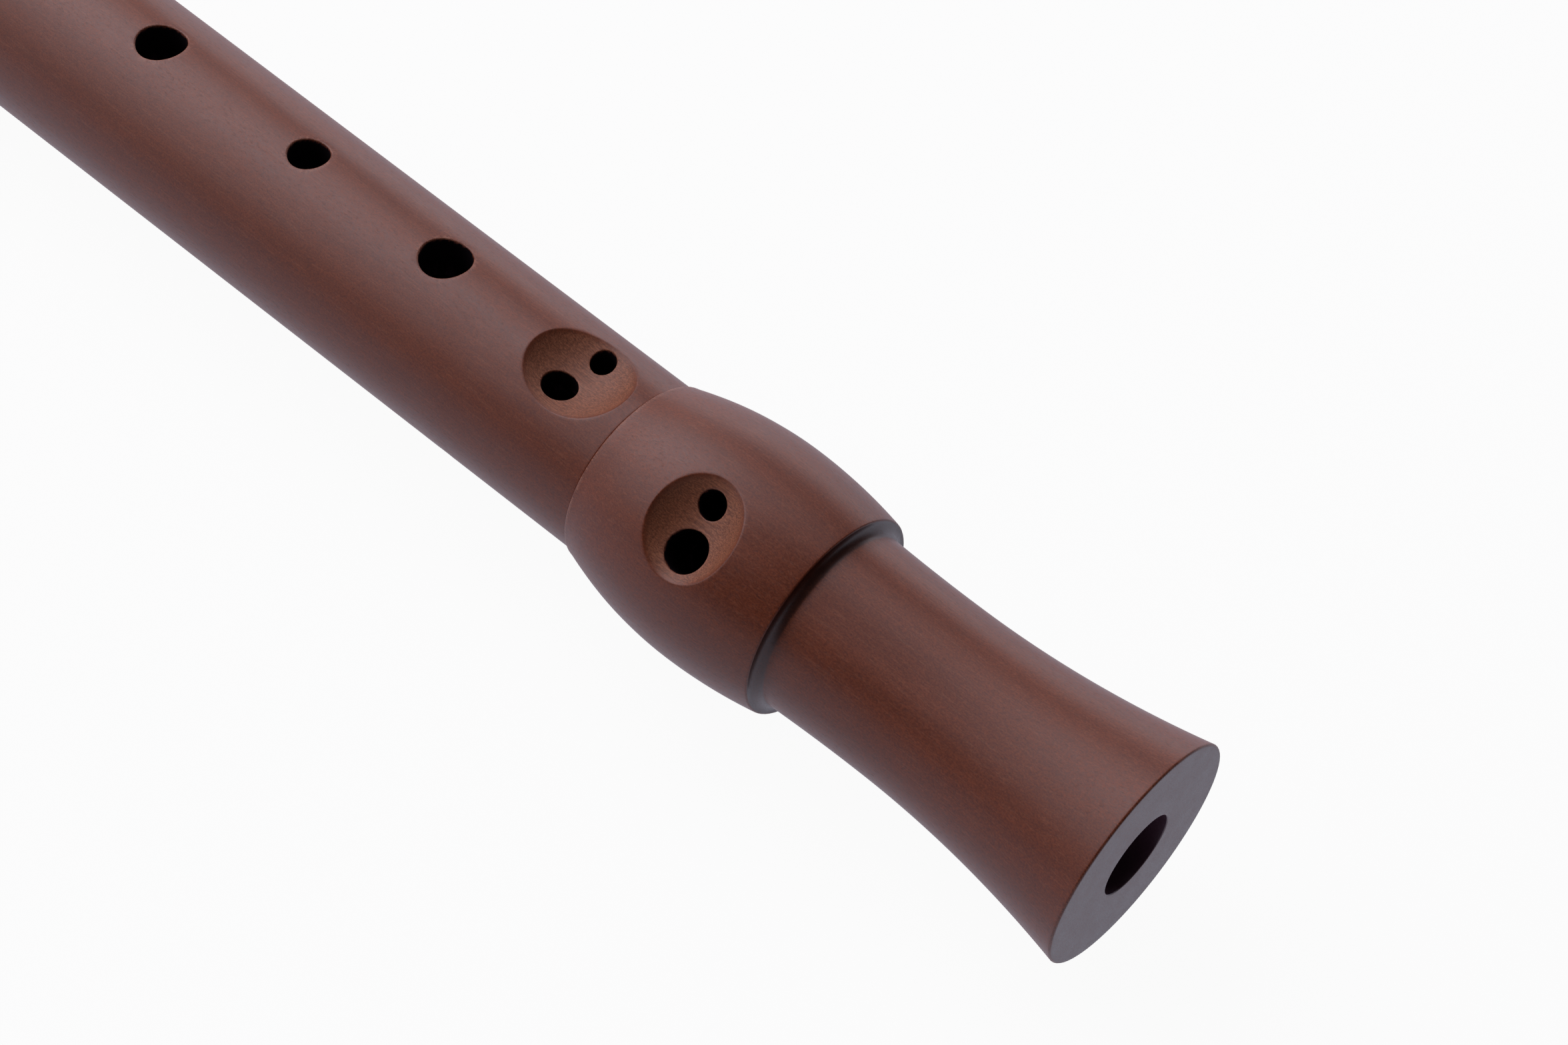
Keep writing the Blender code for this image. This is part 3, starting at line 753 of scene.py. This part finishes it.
# The rim of the end is rubbed paler, and that pale colour also stands as a painted highlight on its rounded
# edge.
foot_kinds.append(((x > FOOT_LENGTH - 0.2) & (radius > 12.7), RIM_WEAR_AND_HIGHLIGHT))
foot_outside = layout((0, 16), (FOOT_TURN - 38, FOOT_TURN + 38))
foot_inside = layout(PAIR_LINES, np.degrees(seventh.turn) + np.array([-78, -7, 78]))
foot_turns = np.where((radius < 5.5)[:, None], foot_inside, foot_outside)
foot = Joint("foot_joint_turned", FOOT_SEAM, foot_outline, foot_turns, foot_barrel, foot_bore)
seventh_blocks = foot.pair(seventh_block, seventh_bore_block)
foot.turn(shares(*foot_kinds), blocks=seventh_blocks)
double_hole(foot, seventh, seventh_blocks, SEVENTH_HOLES)
foot_piece = foot.finish()
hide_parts("foot_joint")
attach(foot_piece, "foot")

# %% [markdown]
# ## Head joint
#
# The head is turned like the foot, then the beak, the windway and the window are cut into it. These
# cuts meet the round wood at odd angles, so grids would need many small blocks. Here exact Booleans are
# the plain way: each cutter is a numpy surface, carried from one side of the head to the other, and is
# taken out of the finely turned piece. Extra rows near the bore's ends keep each change of finish
# short.

# %% Turn the head joint
HEAD_LENGTH = HEAD_SEAM - head_low.x / MM
HEAD = {
    "mouth": (SEAM_GAP, 12.1), "widest": (14.0, AXIS_HEIGHT), "lip": (29.0, 12.3), "step": (29.0, 11.1),
    "waist": (37.0, 10.9), "swelling": (66.0, 12.4), "tip": (HEAD_LENGTH, 11.7),
}
HEAD_BORE = 6.75
UPPER_SOCKET = UPPER_TENON["radius"] + CORK_PROUD + CORK_CLEARANCE
HEAD_SOCKET_FLOOR = 24.3


def head_radius(x):
    """Barrel, cove, waist, an S-shaped swelling and the beak's slow narrowing."""
    barrel = bow(x, HEAD["widest"], HEAD["mouth"], HEAD["lip"])
    waist = bow(x, HEAD["waist"], HEAD["step"], HEAD["tip"])
    beak = bow(x, HEAD["swelling"], HEAD["step"], HEAD["tip"])
    (start, low), (end, high) = HEAD["waist"], HEAD["swelling"]
    swelling = low + (high - low) * eased((x - start) / (end - start))
    return np.select([x < HEAD["lip"][0], x < start, x < end], [barrel, waist, swelling], beak)


body = lines_along(HEAD["step"][0] + 1.5, HEAD_LENGTH - 1.4, [], 1.2)
head_corners = barrel_corners(HEAD, head_radius, []) + plain(body, head_radius(body))
head_corners += [(*HEAD["tip"], 0.8)] + plain(HEAD_LENGTH, [9.8, 8.4, 7.3, 6.9, HEAD_BORE])
head_corners += plain(HEAD_LENGTH - np.array([0.3, 4.0, 40.0]), HEAD_BORE)
head_corners += socket_corners(HEAD_SOCKET_FLOOR, HEAD_BORE, UPPER_SOCKET, [10.1, 11.5])
head_outline = soften(head_corners)
head_kinds = joint_kinds(HEAD, head_outline, HEAD_LENGTH - 0.1, 7.0, 9.8)
head = Joint("head_joint_turned", HEAD_SEAM, head_outline, layout((0, 40), (-2.25, 177.75)))
head.turn(shares(*head_kinds), direction=-1)
head_piece = head.finish()
print(f"head joint {HEAD_LENGTH:.2f} mm, outline of {len(head_outline)} points")

# %% [markdown]
# The block is a plug of cedar whose top is turned to the windway's floor. Its section is an arc about
# the bore's axis over the windway's width, and the round of the bore for the rest. The windway above it
# is a slot under an arched roof, and the ramp rises from the sharp labium at a steady angle. The beak's
# underside is cut hollow, as a round bar would leave it.

# %% Block and cutters
WINDWAY_LENGTH, WINDWAY_WIDTH, WINDWAY_ROOF, WINDWAY_FLOOR = 39.0, 10.0, 7.35, 6.2
WINDOW_CUT_UP, WINDOW_WIDTH, LABIUM_RADIUS = 4.2, 10.4, 7.05
RAMP_ANGLE = math.radians(15.0)
BEAK_CUT_RADIUS, BEAK_LIP_HEIGHT, BEAK_LIP_LENGTH = 30.0, 1.5, 5.0
TIP = -HEAD_LENGTH
CUT_LOW, CUT_CLEAR = 3.0, 2.0


def carried(name, sections, made):
    """A closed body through equal loops of (x, y, height) points from the head's seam, with two end caps."""
    sections = np.asarray(sections, float)
    rows, columns = sections.shape[:2]
    points = (sections + [HEAD_SEAM, 0, AXIS_HEIGHT]) * MM
    faces = cells(rows, columns, False).reshape(-1, 4).tolist()
    faces += [list(range(columns)), list(range((rows - 1) * columns, rows * columns))]
    piece = new_piece(name, points.reshape(-1, 3), faces, made)
    cut = piece.data.attributes.new("cut", "INT", "FACE")
    cut.data.foreach_set("value", np.ones(len(faces), np.int32))
    return piece


def profile(points, y):
    """The same profile of (x, height) corners at each place y, where a height may change with y."""
    loops = [np.stack(np.broadcast_arrays(x, y, height), axis=-1) for x, height in points]
    return np.stack(loops, axis=1)


plug, half = HEAD_BORE - CORK_CLEARANCE, WINDWAY_WIDTH / 2
top, side = np.linspace(-half, half, 17), math.asin(half / plug)
angle = np.linspace(side, 2 * math.pi - side, 80)
y = np.concatenate([top, plug * np.sin(angle)])
height = np.concatenate([tube_height(WINDWAY_FLOOR, top), plug * np.cos(angle)])
places = np.linspace(TIP, TIP + WINDWAY_LENGTH, 40)[:, None]
block_piece = carried("block_shaped", np.stack(np.broadcast_arrays(places, y, height), axis=-1), TURNED)

across = np.linspace(-0.5, 0.5, 25)
slot_y, window_y = across * WINDWAY_WIDTH, across * WINDOW_WIDTH
start, end = TIP - CUT_CLEAR, TIP + WINDWAY_LENGTH + WINDOW_CUT_UP / 2
roof = tube_height(WINDWAY_ROOF, slot_y)
slot = profile([(start, CUT_LOW), (end, CUT_LOW), (end, roof), (start, roof)], slot_y)
windway = carried("windway_cutter", slot, MILLED)

start = TIP + WINDWAY_LENGTH
labium = start + WINDOW_CUT_UP
high = HEAD["swelling"][1] + CUT_CLEAR
ramp_end = labium + (high - LABIUM_RADIUS) / math.tan(RAMP_ANGLE)
corners = [(start, CUT_LOW), (labium, CUT_LOW), (labium, tube_height(LABIUM_RADIUS, window_y))]
corners += [(ramp_end, tube_height(high, window_y)), (ramp_end, high + CUT_CLEAR), (start, high + CUT_CLEAR)]
window = carried("window_cutter", profile(corners, window_y), MILLED)

middle_of_bar = (TIP + BEAK_LIP_LENGTH, BEAK_LIP_HEIGHT - BEAK_CUT_RADIUS)
bar = circle(middle_of_bar, BEAK_CUT_RADIUS, np.linspace(0, 2 * math.pi, 241)[:-1])
beak = carried("beak_cutter", profile(bar, np.array([-16.0, 16.0])), TURNED)
print(f"windway {WINDWAY_LENGTH} mm long, ramp ends {ramp_end - labium:.1f} mm behind the labium")

# %% [markdown]
# A cut can meet turned wood so flatly that smooth shading would smear one into the other. Each face of
# a cutter is marked as cut, and the Boolean hands the mark on, so every edge between the two kinds can
# be made sharp.

# %% Cut the head and the block
def read(elements, name, kind=np.int32):
    """One value of every element of a mesh, as an array."""
    values = np.empty(len(elements), kind)
    elements.foreach_get(name, values)
    return values


def keep_cuts_sharp(mesh):
    """Marks each edge between turned wood and a cut as sharp, however flat the two meet."""
    kind = np.repeat(read(mesh.attributes["cut"].data, "value"), read(mesh.polygons, "loop_total"))
    edge = read(mesh.loops, "edge_index")
    low, high = np.ones(len(mesh.edges), np.int32), np.zeros(len(mesh.edges), np.int32)
    np.minimum.at(low, edge, kind)
    np.maximum.at(high, edge, kind)
    sharp = read(mesh.edges, "use_edge_sharp", bool) | (low != high)
    mesh.edges.foreach_set("use_edge_sharp", sharp)
    print(f"{np.sum(low != high)} edges lie where a cut meets turned wood")


def cut_out(piece, cutters):
    """Takes the cutters out of a piece one after the other, and keeps the result as its mesh."""
    for cutter in cutters:
        step = piece.modifiers.new(cutter.name, "BOOLEAN")
        step.operation = "DIFFERENCE"
        step.solver = "EXACT"
        step.object = cutter
    graph = bpy.context.evaluated_depsgraph_get()
    mesh = bpy.data.meshes.new_from_object(piece.evaluated_get(graph))
    piece.modifiers.clear()
    piece.data = mesh
    shade(piece)
    keep_cuts_sharp(mesh)


cut_out(head_piece, [windway, window, beak])
cut_out(block_piece, [beak])
for cutter in (windway, window, beak):
    bpy.data.objects.remove(cutter, do_unlink=True)
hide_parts("head_joint")
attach(head_piece, "head")
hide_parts("block")
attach(block_piece, "block")

# %% [markdown]
# ## Cork bands
#
# A sheet of cork is glued round each tenon and sanded until the joint slides on with a firm push. Only
# its edges are rounded, where the sandpaper has run over them.

# %% Turn the cork bands
CORK_EDGE = 0.35


def cork_band(name, tenon, direction, seam, node, body):
    outer = tenon["radius"] + CORK_PROUD
    inner = outer - CORK_THICKNESS
    start, end = tenon["cork"]
    corners = [(start, inner, 0), (start, outer, CORK_EDGE)]
    corners += plain(lines_along(start + 0.5, end - 0.5, [], 1.0), outer)
    joint = Joint(name, seam, soften(corners + [(end, outer, CORK_EDGE), (end, inner, 0)]), even)
    joint.turn(TURNED, direction)
    band = joint.finish()
    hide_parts(node)
    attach(band, body)
    return band


upper_cork = cork_band("upper_cork_band", UPPER_TENON, -1, HEAD_SEAM, "upper_tenon_cork", "upper_grip")
lower_cork = cork_band("lower_cork_band", LOWER_TENON, 1, FOOT_SEAM, "lower_tenon_cork", "lower_grip")

# %% [markdown]
# ## Finishes
#
# A finish is worked out from the place of each point, so it needs no picture. The small class below
# lets shader maths be written as plain expressions: a sum or product of sockets adds the Math node for
# it. Every other kind of node comes from one method, which sets the node up before it gives values or
# links to its sockets.

# %% Shader maths as expressions
class Socket:
    """One output of a node. Arithmetic on it adds Math nodes."""

    def __init__(self, tree, socket=None):
        self.tree, self.socket = tree, socket

    def node(self, kind, settings=None, sockets=None, output=0):
        made = self.tree.nodes.new(kind)
        for key, value in (settings or {}).items():
            setattr(made, key, value)
        for key, value in (sockets or {}).items():
            if isinstance(value, Socket):
                self.tree.links.new(value.socket, made.inputs[key])
            else:
                made.inputs[key].default_value = value
        return Socket(self.tree, made.outputs[output] if made.outputs else None)

    def maths(self, operation, first, second):
        return self.node("ShaderNodeMath", {"operation": operation}, {0: first, 1: second})

    def __add__(self, other):
        return self.maths("ADD", self, other)

    def __sub__(self, other):
        return self.maths("SUBTRACT", self, other)

    def __rsub__(self, other):
        return self.maths("SUBTRACT", other, self)

    def __mul__(self, other):
        return self.maths("MULTIPLY", self, other)

    __radd__ = __add__
    __rmul__ = __mul__

    def above(self, low, high):
        """0 below the low value, 1 above the high one, and a smooth rise between them."""
        sockets = {0: self, 1: low, 2: high, 3: 0.0, 4: 1.0}
        return self.node("ShaderNodeMapRange", {"interpolation_type": "SMOOTHSTEP"}, sockets)

    def stretched(self, along, across, shift=0.0, sideways=None):
        """The place in millimetres with a scale along the bore and one across it, or two across it."""
        scale = (along / MM, (sideways or across) / MM, across / MM)
        moved = self.node("ShaderNodeVectorMath", {"operation": "MULTIPLY"}, {0: self, 1: scale})
        return self.node("ShaderNodeVectorMath", {"operation": "ADD"}, {0: moved, 1: (shift, shift, shift)})

    def noise(self, detail=3.0, roughness=0.5):
        sockets = {"Vector": self, "Scale": 1.0, "Detail": detail, "Roughness": roughness}
        return self.node("ShaderNodeTexNoise", sockets=sockets)

    def mixed(self, first, second):
        """The first colour where this is 0, the second where it is 1, in a Mix node's sockets 6 and 7."""
        return self.node("ShaderNodeMix", {"data_type": "RGBA"}, {0: self, 6: first, 7: second}, output=2)


def new_finish(name):
    """An empty material. Returns it with a socket that starts its node tree."""
    finish = bpy.data.materials.new(name)
    finish.use_nodes = True
    finish.node_tree.nodes.clear()
    return finish, Socket(finish.node_tree)


def close_finish(start, colour, roughness, height, strength, depth, constants):
    """The shader with its bump, whose depth is in millimetres, and with its constants set on it."""
    relief = {"Strength": strength, "Distance": depth * MM, "Height": height}
    bump = start.node("ShaderNodeBump", sockets=relief)
    sockets = {"Base Color": colour, "Roughness": roughness, "Normal": bump} | constants
    shader = start.node("ShaderNodeBsdfPrincipled", sockets=sockets)
    start.node("ShaderNodeOutputMaterial", sockets={"Surface": shader})


def linear(red, green, blue):
    """A colour as a picture shows it, 0 to 255, made linear for the shader."""
    value = np.array([red, green, blue]) / 255
    value = np.where(value <= 0.04045, value / 12.92, ((value + 0.055) / 1.055) ** 2.4)
    return (*value.tolist(), 1.0)


print("a mid brown is", np.round(linear(90, 55, 45), 3).tolist(), "in linear light")

# %% [markdown]
# The recorder's wood is a dense fruit wood, stained dark red-brown and oiled to a satin sheen. Close
# to, it has three things: faint streaks that run for centimetres along the bore, short fine pores that
# the stain has made dark, and pale flecks between them. A still finer grain lies over all of it. All
# are noise that is stretched along the bore, at several scales. Where a cutter has opened the wood in
# the scoops it is a lighter orange-brown with fine lines, and edges that hands rub are paler.

# %% Stained wood
WOOD = {
    "stain": (104, 44, 18), "light stain": (118, 53, 24), "pore": (60, 28, 20), "fleck": (148, 92, 68),
    "opened": (114, 63, 38), "light opened": (150, 93, 64), "opened pore": (66, 30, 18),
    # worn is rubbed wood; on the foot's rim it also serves as a painted highlight.
    "worn": (156, 108, 88), "dark grain": (50, 19, 9), "light grain": (182, 104, 66),
    # drilled is a near-black painted shade for holes, sockets and coves. reamed is the reamed bore's own
    # lighter tone.
    "drilled": (22, 15, 20), "reamed": (96, 66, 82),
}
WOOD = {name: linear(*colour) for name, colour in WOOD.items()}


def stained_wood(name, shift):
    finish, start = new_finish(name)
    place = start.node("ShaderNodeTexCoord", output="Object")
    made = start.node("ShaderNodeAttribute", {"attribute_name": "made"}, output="Vector")
    parted = start.node("ShaderNodeSeparateXYZ", sockets={0: made})
    milled, bored_and_shaded, worn = (Socket(start.tree, output) for output in parted.socket.node.outputs)

    streaks = place.stretched(0.045, 0.55, shift).noise()
    figure = place.stretched(0.16, 0.9, shift + 7).noise(detail=4.0, roughness=0.6)
    pores = place.stretched(1.7, 5.6, shift + 13).noise(roughness=0.62)
    flecks = place.stretched(0.30, 4.2, shift + 29).noise(roughness=0.62)
    lines = place.stretched(0.12, 8.0, shift + 41).noise(roughness=0.6)
    speckle = place.stretched(3.8, 7.0, shift + 53).noise(roughness=0.75)

    tone = (streaks * 0.6 + figure * 0.4).above(0.30, 0.70)
    dark = pores.above(0.52, 0.68)
    pale = flecks.above(0.50, 0.68)
    grain = speckle.above(0.34, 0.66)
    wear_and_rim_highlight = worn * (figure * 0.5 + speckle * 0.5).above(0.42, 0.58)
    opened = lines.above(0.38, 0.62).mixed(WOOD["opened"], WOOD["light opened"])
    opened = (dark * 0.20).mixed(opened, WOOD["opened pore"])
    # Near-black painted shade for holes, sockets and coves, and the lighter tone of the reamed bore.
    inside = worn.mixed(WOOD["drilled"], WOOD["reamed"])
    wood = tone.mixed(WOOD["stain"], WOOD["light stain"])
    wood = (dark * 0.34).mixed(wood, WOOD["pore"])
    wood = (pale * 0.24).mixed(wood, WOOD["fleck"])
    wood = milled.mixed(wood, opened)
    wood = (wear_and_rim_highlight * 0.60).mixed(wood, WOOD["worn"])
    wood = ((1 - grain) * 0.44).mixed(wood, WOOD["dark grain"])
    wood = (grain * 0.09).mixed(wood, WOOD["light grain"])
    wood = bored_and_shaded.mixed(wood, inside)

    roughness = 0.36 + tone * 0.04 + dark * 0.08 + grain * 0.08 + milled * 0.12 - bored_and_shaded * 0.06
    height = lines * milled * 0.6 - dark * 0.5 + figure * 0.15 + speckle * 0.8
    close_finish(start, wood, roughness, height, 0.2, 0.03, {"IOR": 1.5, "Specular IOR Level": 0.46})
    return finish


for piece, shift in ((head_piece, 0.0), (middle_piece, 31.0), (foot_piece, 67.0)):
    piece.data.materials.clear()
    piece.data.materials.append(stained_wood(f"{piece.name}_wood", shift))
print("stained wood on three joints")

# %% [markdown]
# Cedar is straight-grained, with light spring wood and darker late wood in even bands. Cork is a mass
# of tiny cells with darker pits between them.

# %% Cedar and cork
SPRING_WOOD, LATE_WOOD, CEDAR_FIBRE = linear(176, 124, 92), linear(143, 90, 64), linear(110, 66, 46)
LIGHT_CORK, DARK_CORK, CORK_PIT = linear(196, 156, 114), linear(158, 112, 76), linear(104, 68, 44)


def cedar():
    finish, start = new_finish("cedar_of_the_block")
    place = start.node("ShaderNodeTexCoord", output="Object")
    bands = place.stretched(0.02, 1.1, 3.0, sideways=0.08).noise(detail=2.0)
    fibre = place.stretched(0.25, 7.0, 11.0).noise(roughness=0.6)
    wood = bands.above(0.4, 0.6).mixed(SPRING_WOOD, LATE_WOOD)
    wood = (fibre.above(0.5, 0.7) * 0.4).mixed(wood, CEDAR_FIBRE)
    close_finish(start, wood, 0.6 + fibre * 0.1, fibre, 0.3, 0.04, {"IOR": 1.45})
    return finish


def cork():
    finish, start = new_finish("cork_sheet")
    place = start.node("ShaderNodeTexCoord", output="Object")
    grain = place.stretched(2.4, 2.4).noise(detail=4.0, roughness=0.65)
    pits = place.stretched(0.9, 0.9, 17.0).noise(roughness=0.7).above(0.58, 0.68)
    sheet = grain.above(0.4, 0.62).mixed(LIGHT_CORK, DARK_CORK)
    sheet = pits.mixed(sheet, CORK_PIT)
    close_finish(start, sheet, 0.78 + grain * 0.1, grain * 0.4 - pits, 0.5, 0.06, {"IOR": 1.4})
    return finish


block_piece.data.materials.clear()
block_piece.data.materials.append(cedar())
sheet = cork()
for band in (upper_cork, lower_cork):
    band.data.materials.append(sheet)
print("cedar on the block, cork on both bands")

# %% [markdown]
# ## Floor, light and camera
#
# The photograph shows the recorder on plain white, in soft light that comes over the head joint. Three
# softboxes there make the broad sheen along the top, and two low cards light its flanks. The floor is a
# real white surface that takes a shadow. What the camera sees of it is mostly its own white, so that
# the ground stays even. What gloss sees of it is a little darker and bluer, as white paper in its own
# shade is, and that gives the foot's flat end its cool grey.

# %% Floor and soft light
PAPER, SEEN_PAPER, MIRRORED_PAPER = (0.60, 0.61, 0.63, 1.0), (1.0, 1.0, 1.0, 1.0), (0.83, 0.84, 1.0, 1.0)
OWN_WHITE = 0.95


def white_ground():
    finish, start = new_finish("white_ground")
    path = start.node("ShaderNodeLightPath").socket.node.outputs
    rays = ("Is Camera Ray", "Is Glossy Ray", "Is Transmission Ray")
    camera, glossy, clear = (Socket(start.tree, path[ray]) for ray in rays)
    paper = start.node("ShaderNodeBsdfDiffuse", sockets={"Color": PAPER})
    white = glossy.mixed(SEEN_PAPER, MIRRORED_PAPER)
    glow = start.node("ShaderNodeEmission", sockets={"Color": white, "Strength": 1.0})
    share = (camera + glossy + clear) * OWN_WHITE
    ground = start.node("ShaderNodeMixShader", sockets={0: share, 1: paper, 2: glow})
    start.node("ShaderNodeOutputMaterial", sockets={"Surface": ground})
    return finish


sheet = bpy.data.meshes.new("floor")
sheet.from_pydata([(-3, -3, 0), (3, -3, 0), (3, 3, 0), (-3, 3, 0)], [], [(0, 1, 2, 3)])
sheet.materials.append(white_ground())
floor = bpy.data.objects.new("floor", sheet)
bpy.context.scene.collection.objects.link(floor)
floor.location.z = -0.0002

world = bpy.data.worlds.new("soft_room")
world.use_nodes = True
room = world.node_tree.nodes["Background"]
room.inputs["Color"].default_value = (0.97, 0.98, 1.0, 1.0)
room.inputs["Strength"].default_value = 0.03
bpy.context.scene.world = world

LIT_POINT = Vector((0.09, 0.0, 0.012))
LAMP_COLOUR = (0.97, 0.92, 1.0)


def softbox(name, azimuth, elevation, size, radiance, distance=0.9):
    """A lamp seen from the foot in a direction in degrees. Its power follows from its size and radiance."""
    azimuth, elevation = math.radians(azimuth), math.radians(elevation)
    level = math.cos(elevation)
    direction = Vector((level * math.cos(azimuth), level * math.sin(azimuth), math.sin(elevation)))
    lamp = bpy.data.lights.new(name, "AREA")
    lamp.shape = "RECTANGLE"
    lamp.size, lamp.size_y = size
    lamp.energy = radiance * math.pi * size[0] * size[1]
    lamp.color = LAMP_COLOUR
    box = bpy.data.objects.new(name, lamp)
    box.location = LIT_POINT + direction * distance
    box.rotation_euler = (-direction).to_track_quat("-Z", "Y").to_euler()
    bpy.context.scene.collection.objects.link(box)


softbox("key_softbox", 182, 50, (0.46, 0.40), 1.9, distance=0.88)
softbox("wide_softbox", 187, 44, (1.50, 0.68), 2.05)
softbox("top_softbox", 128, 66, (0.70, 0.55), 1.4)
softbox("back_card", 108, 13, (0.90, 0.32), 2.4)
softbox("head_card", 222, 12, (0.70, 0.30), 0.8)
print("floor, room, three softboxes over the head joint and two low cards")

# %% [markdown]
# The camera's place and turn were fitted to the seam, the step, the end face and both sides of the tube
# in the photograph. It looks down on the foot from the player's right, so the head lies outside the
# picture. Its place is counted from the seam, and its turn is given by the directions of its right, its
# top and its back.

# %% Camera
CAMERA_OFFSET = (0.1219, -0.1387, 0.2095)
CAMERA_RIGHT = (0.736909, 0.670239, 0.088013)
CAMERA_UP = (-0.554503, 0.524860, 0.645795)
CAMERA_BACK = (0.386641, -0.524695, 0.758423)

lens = bpy.data.cameras.new("camera")
lens.lens = 61.22
lens.sensor_width = 36.0
lens.clip_start = 0.01
camera = bpy.data.objects.new("camera", lens)
turned = np.eye(4)
turned[:3, :3] = np.stack([CAMERA_RIGHT, CAMERA_UP, CAMERA_BACK], axis=1)
turned[:3, 3] = np.array([FOOT_SEAM, 0.0, AXIS_HEIGHT]) * MM + CAMERA_OFFSET
camera.matrix_world = Matrix(turned.tolist())
bpy.context.scene.collection.objects.link(camera)
bpy.context.scene.camera = camera
bpy.context.scene.view_settings.view_transform = "Standard"
print("camera at", np.round(turned[:3, 3], 4).tolist())
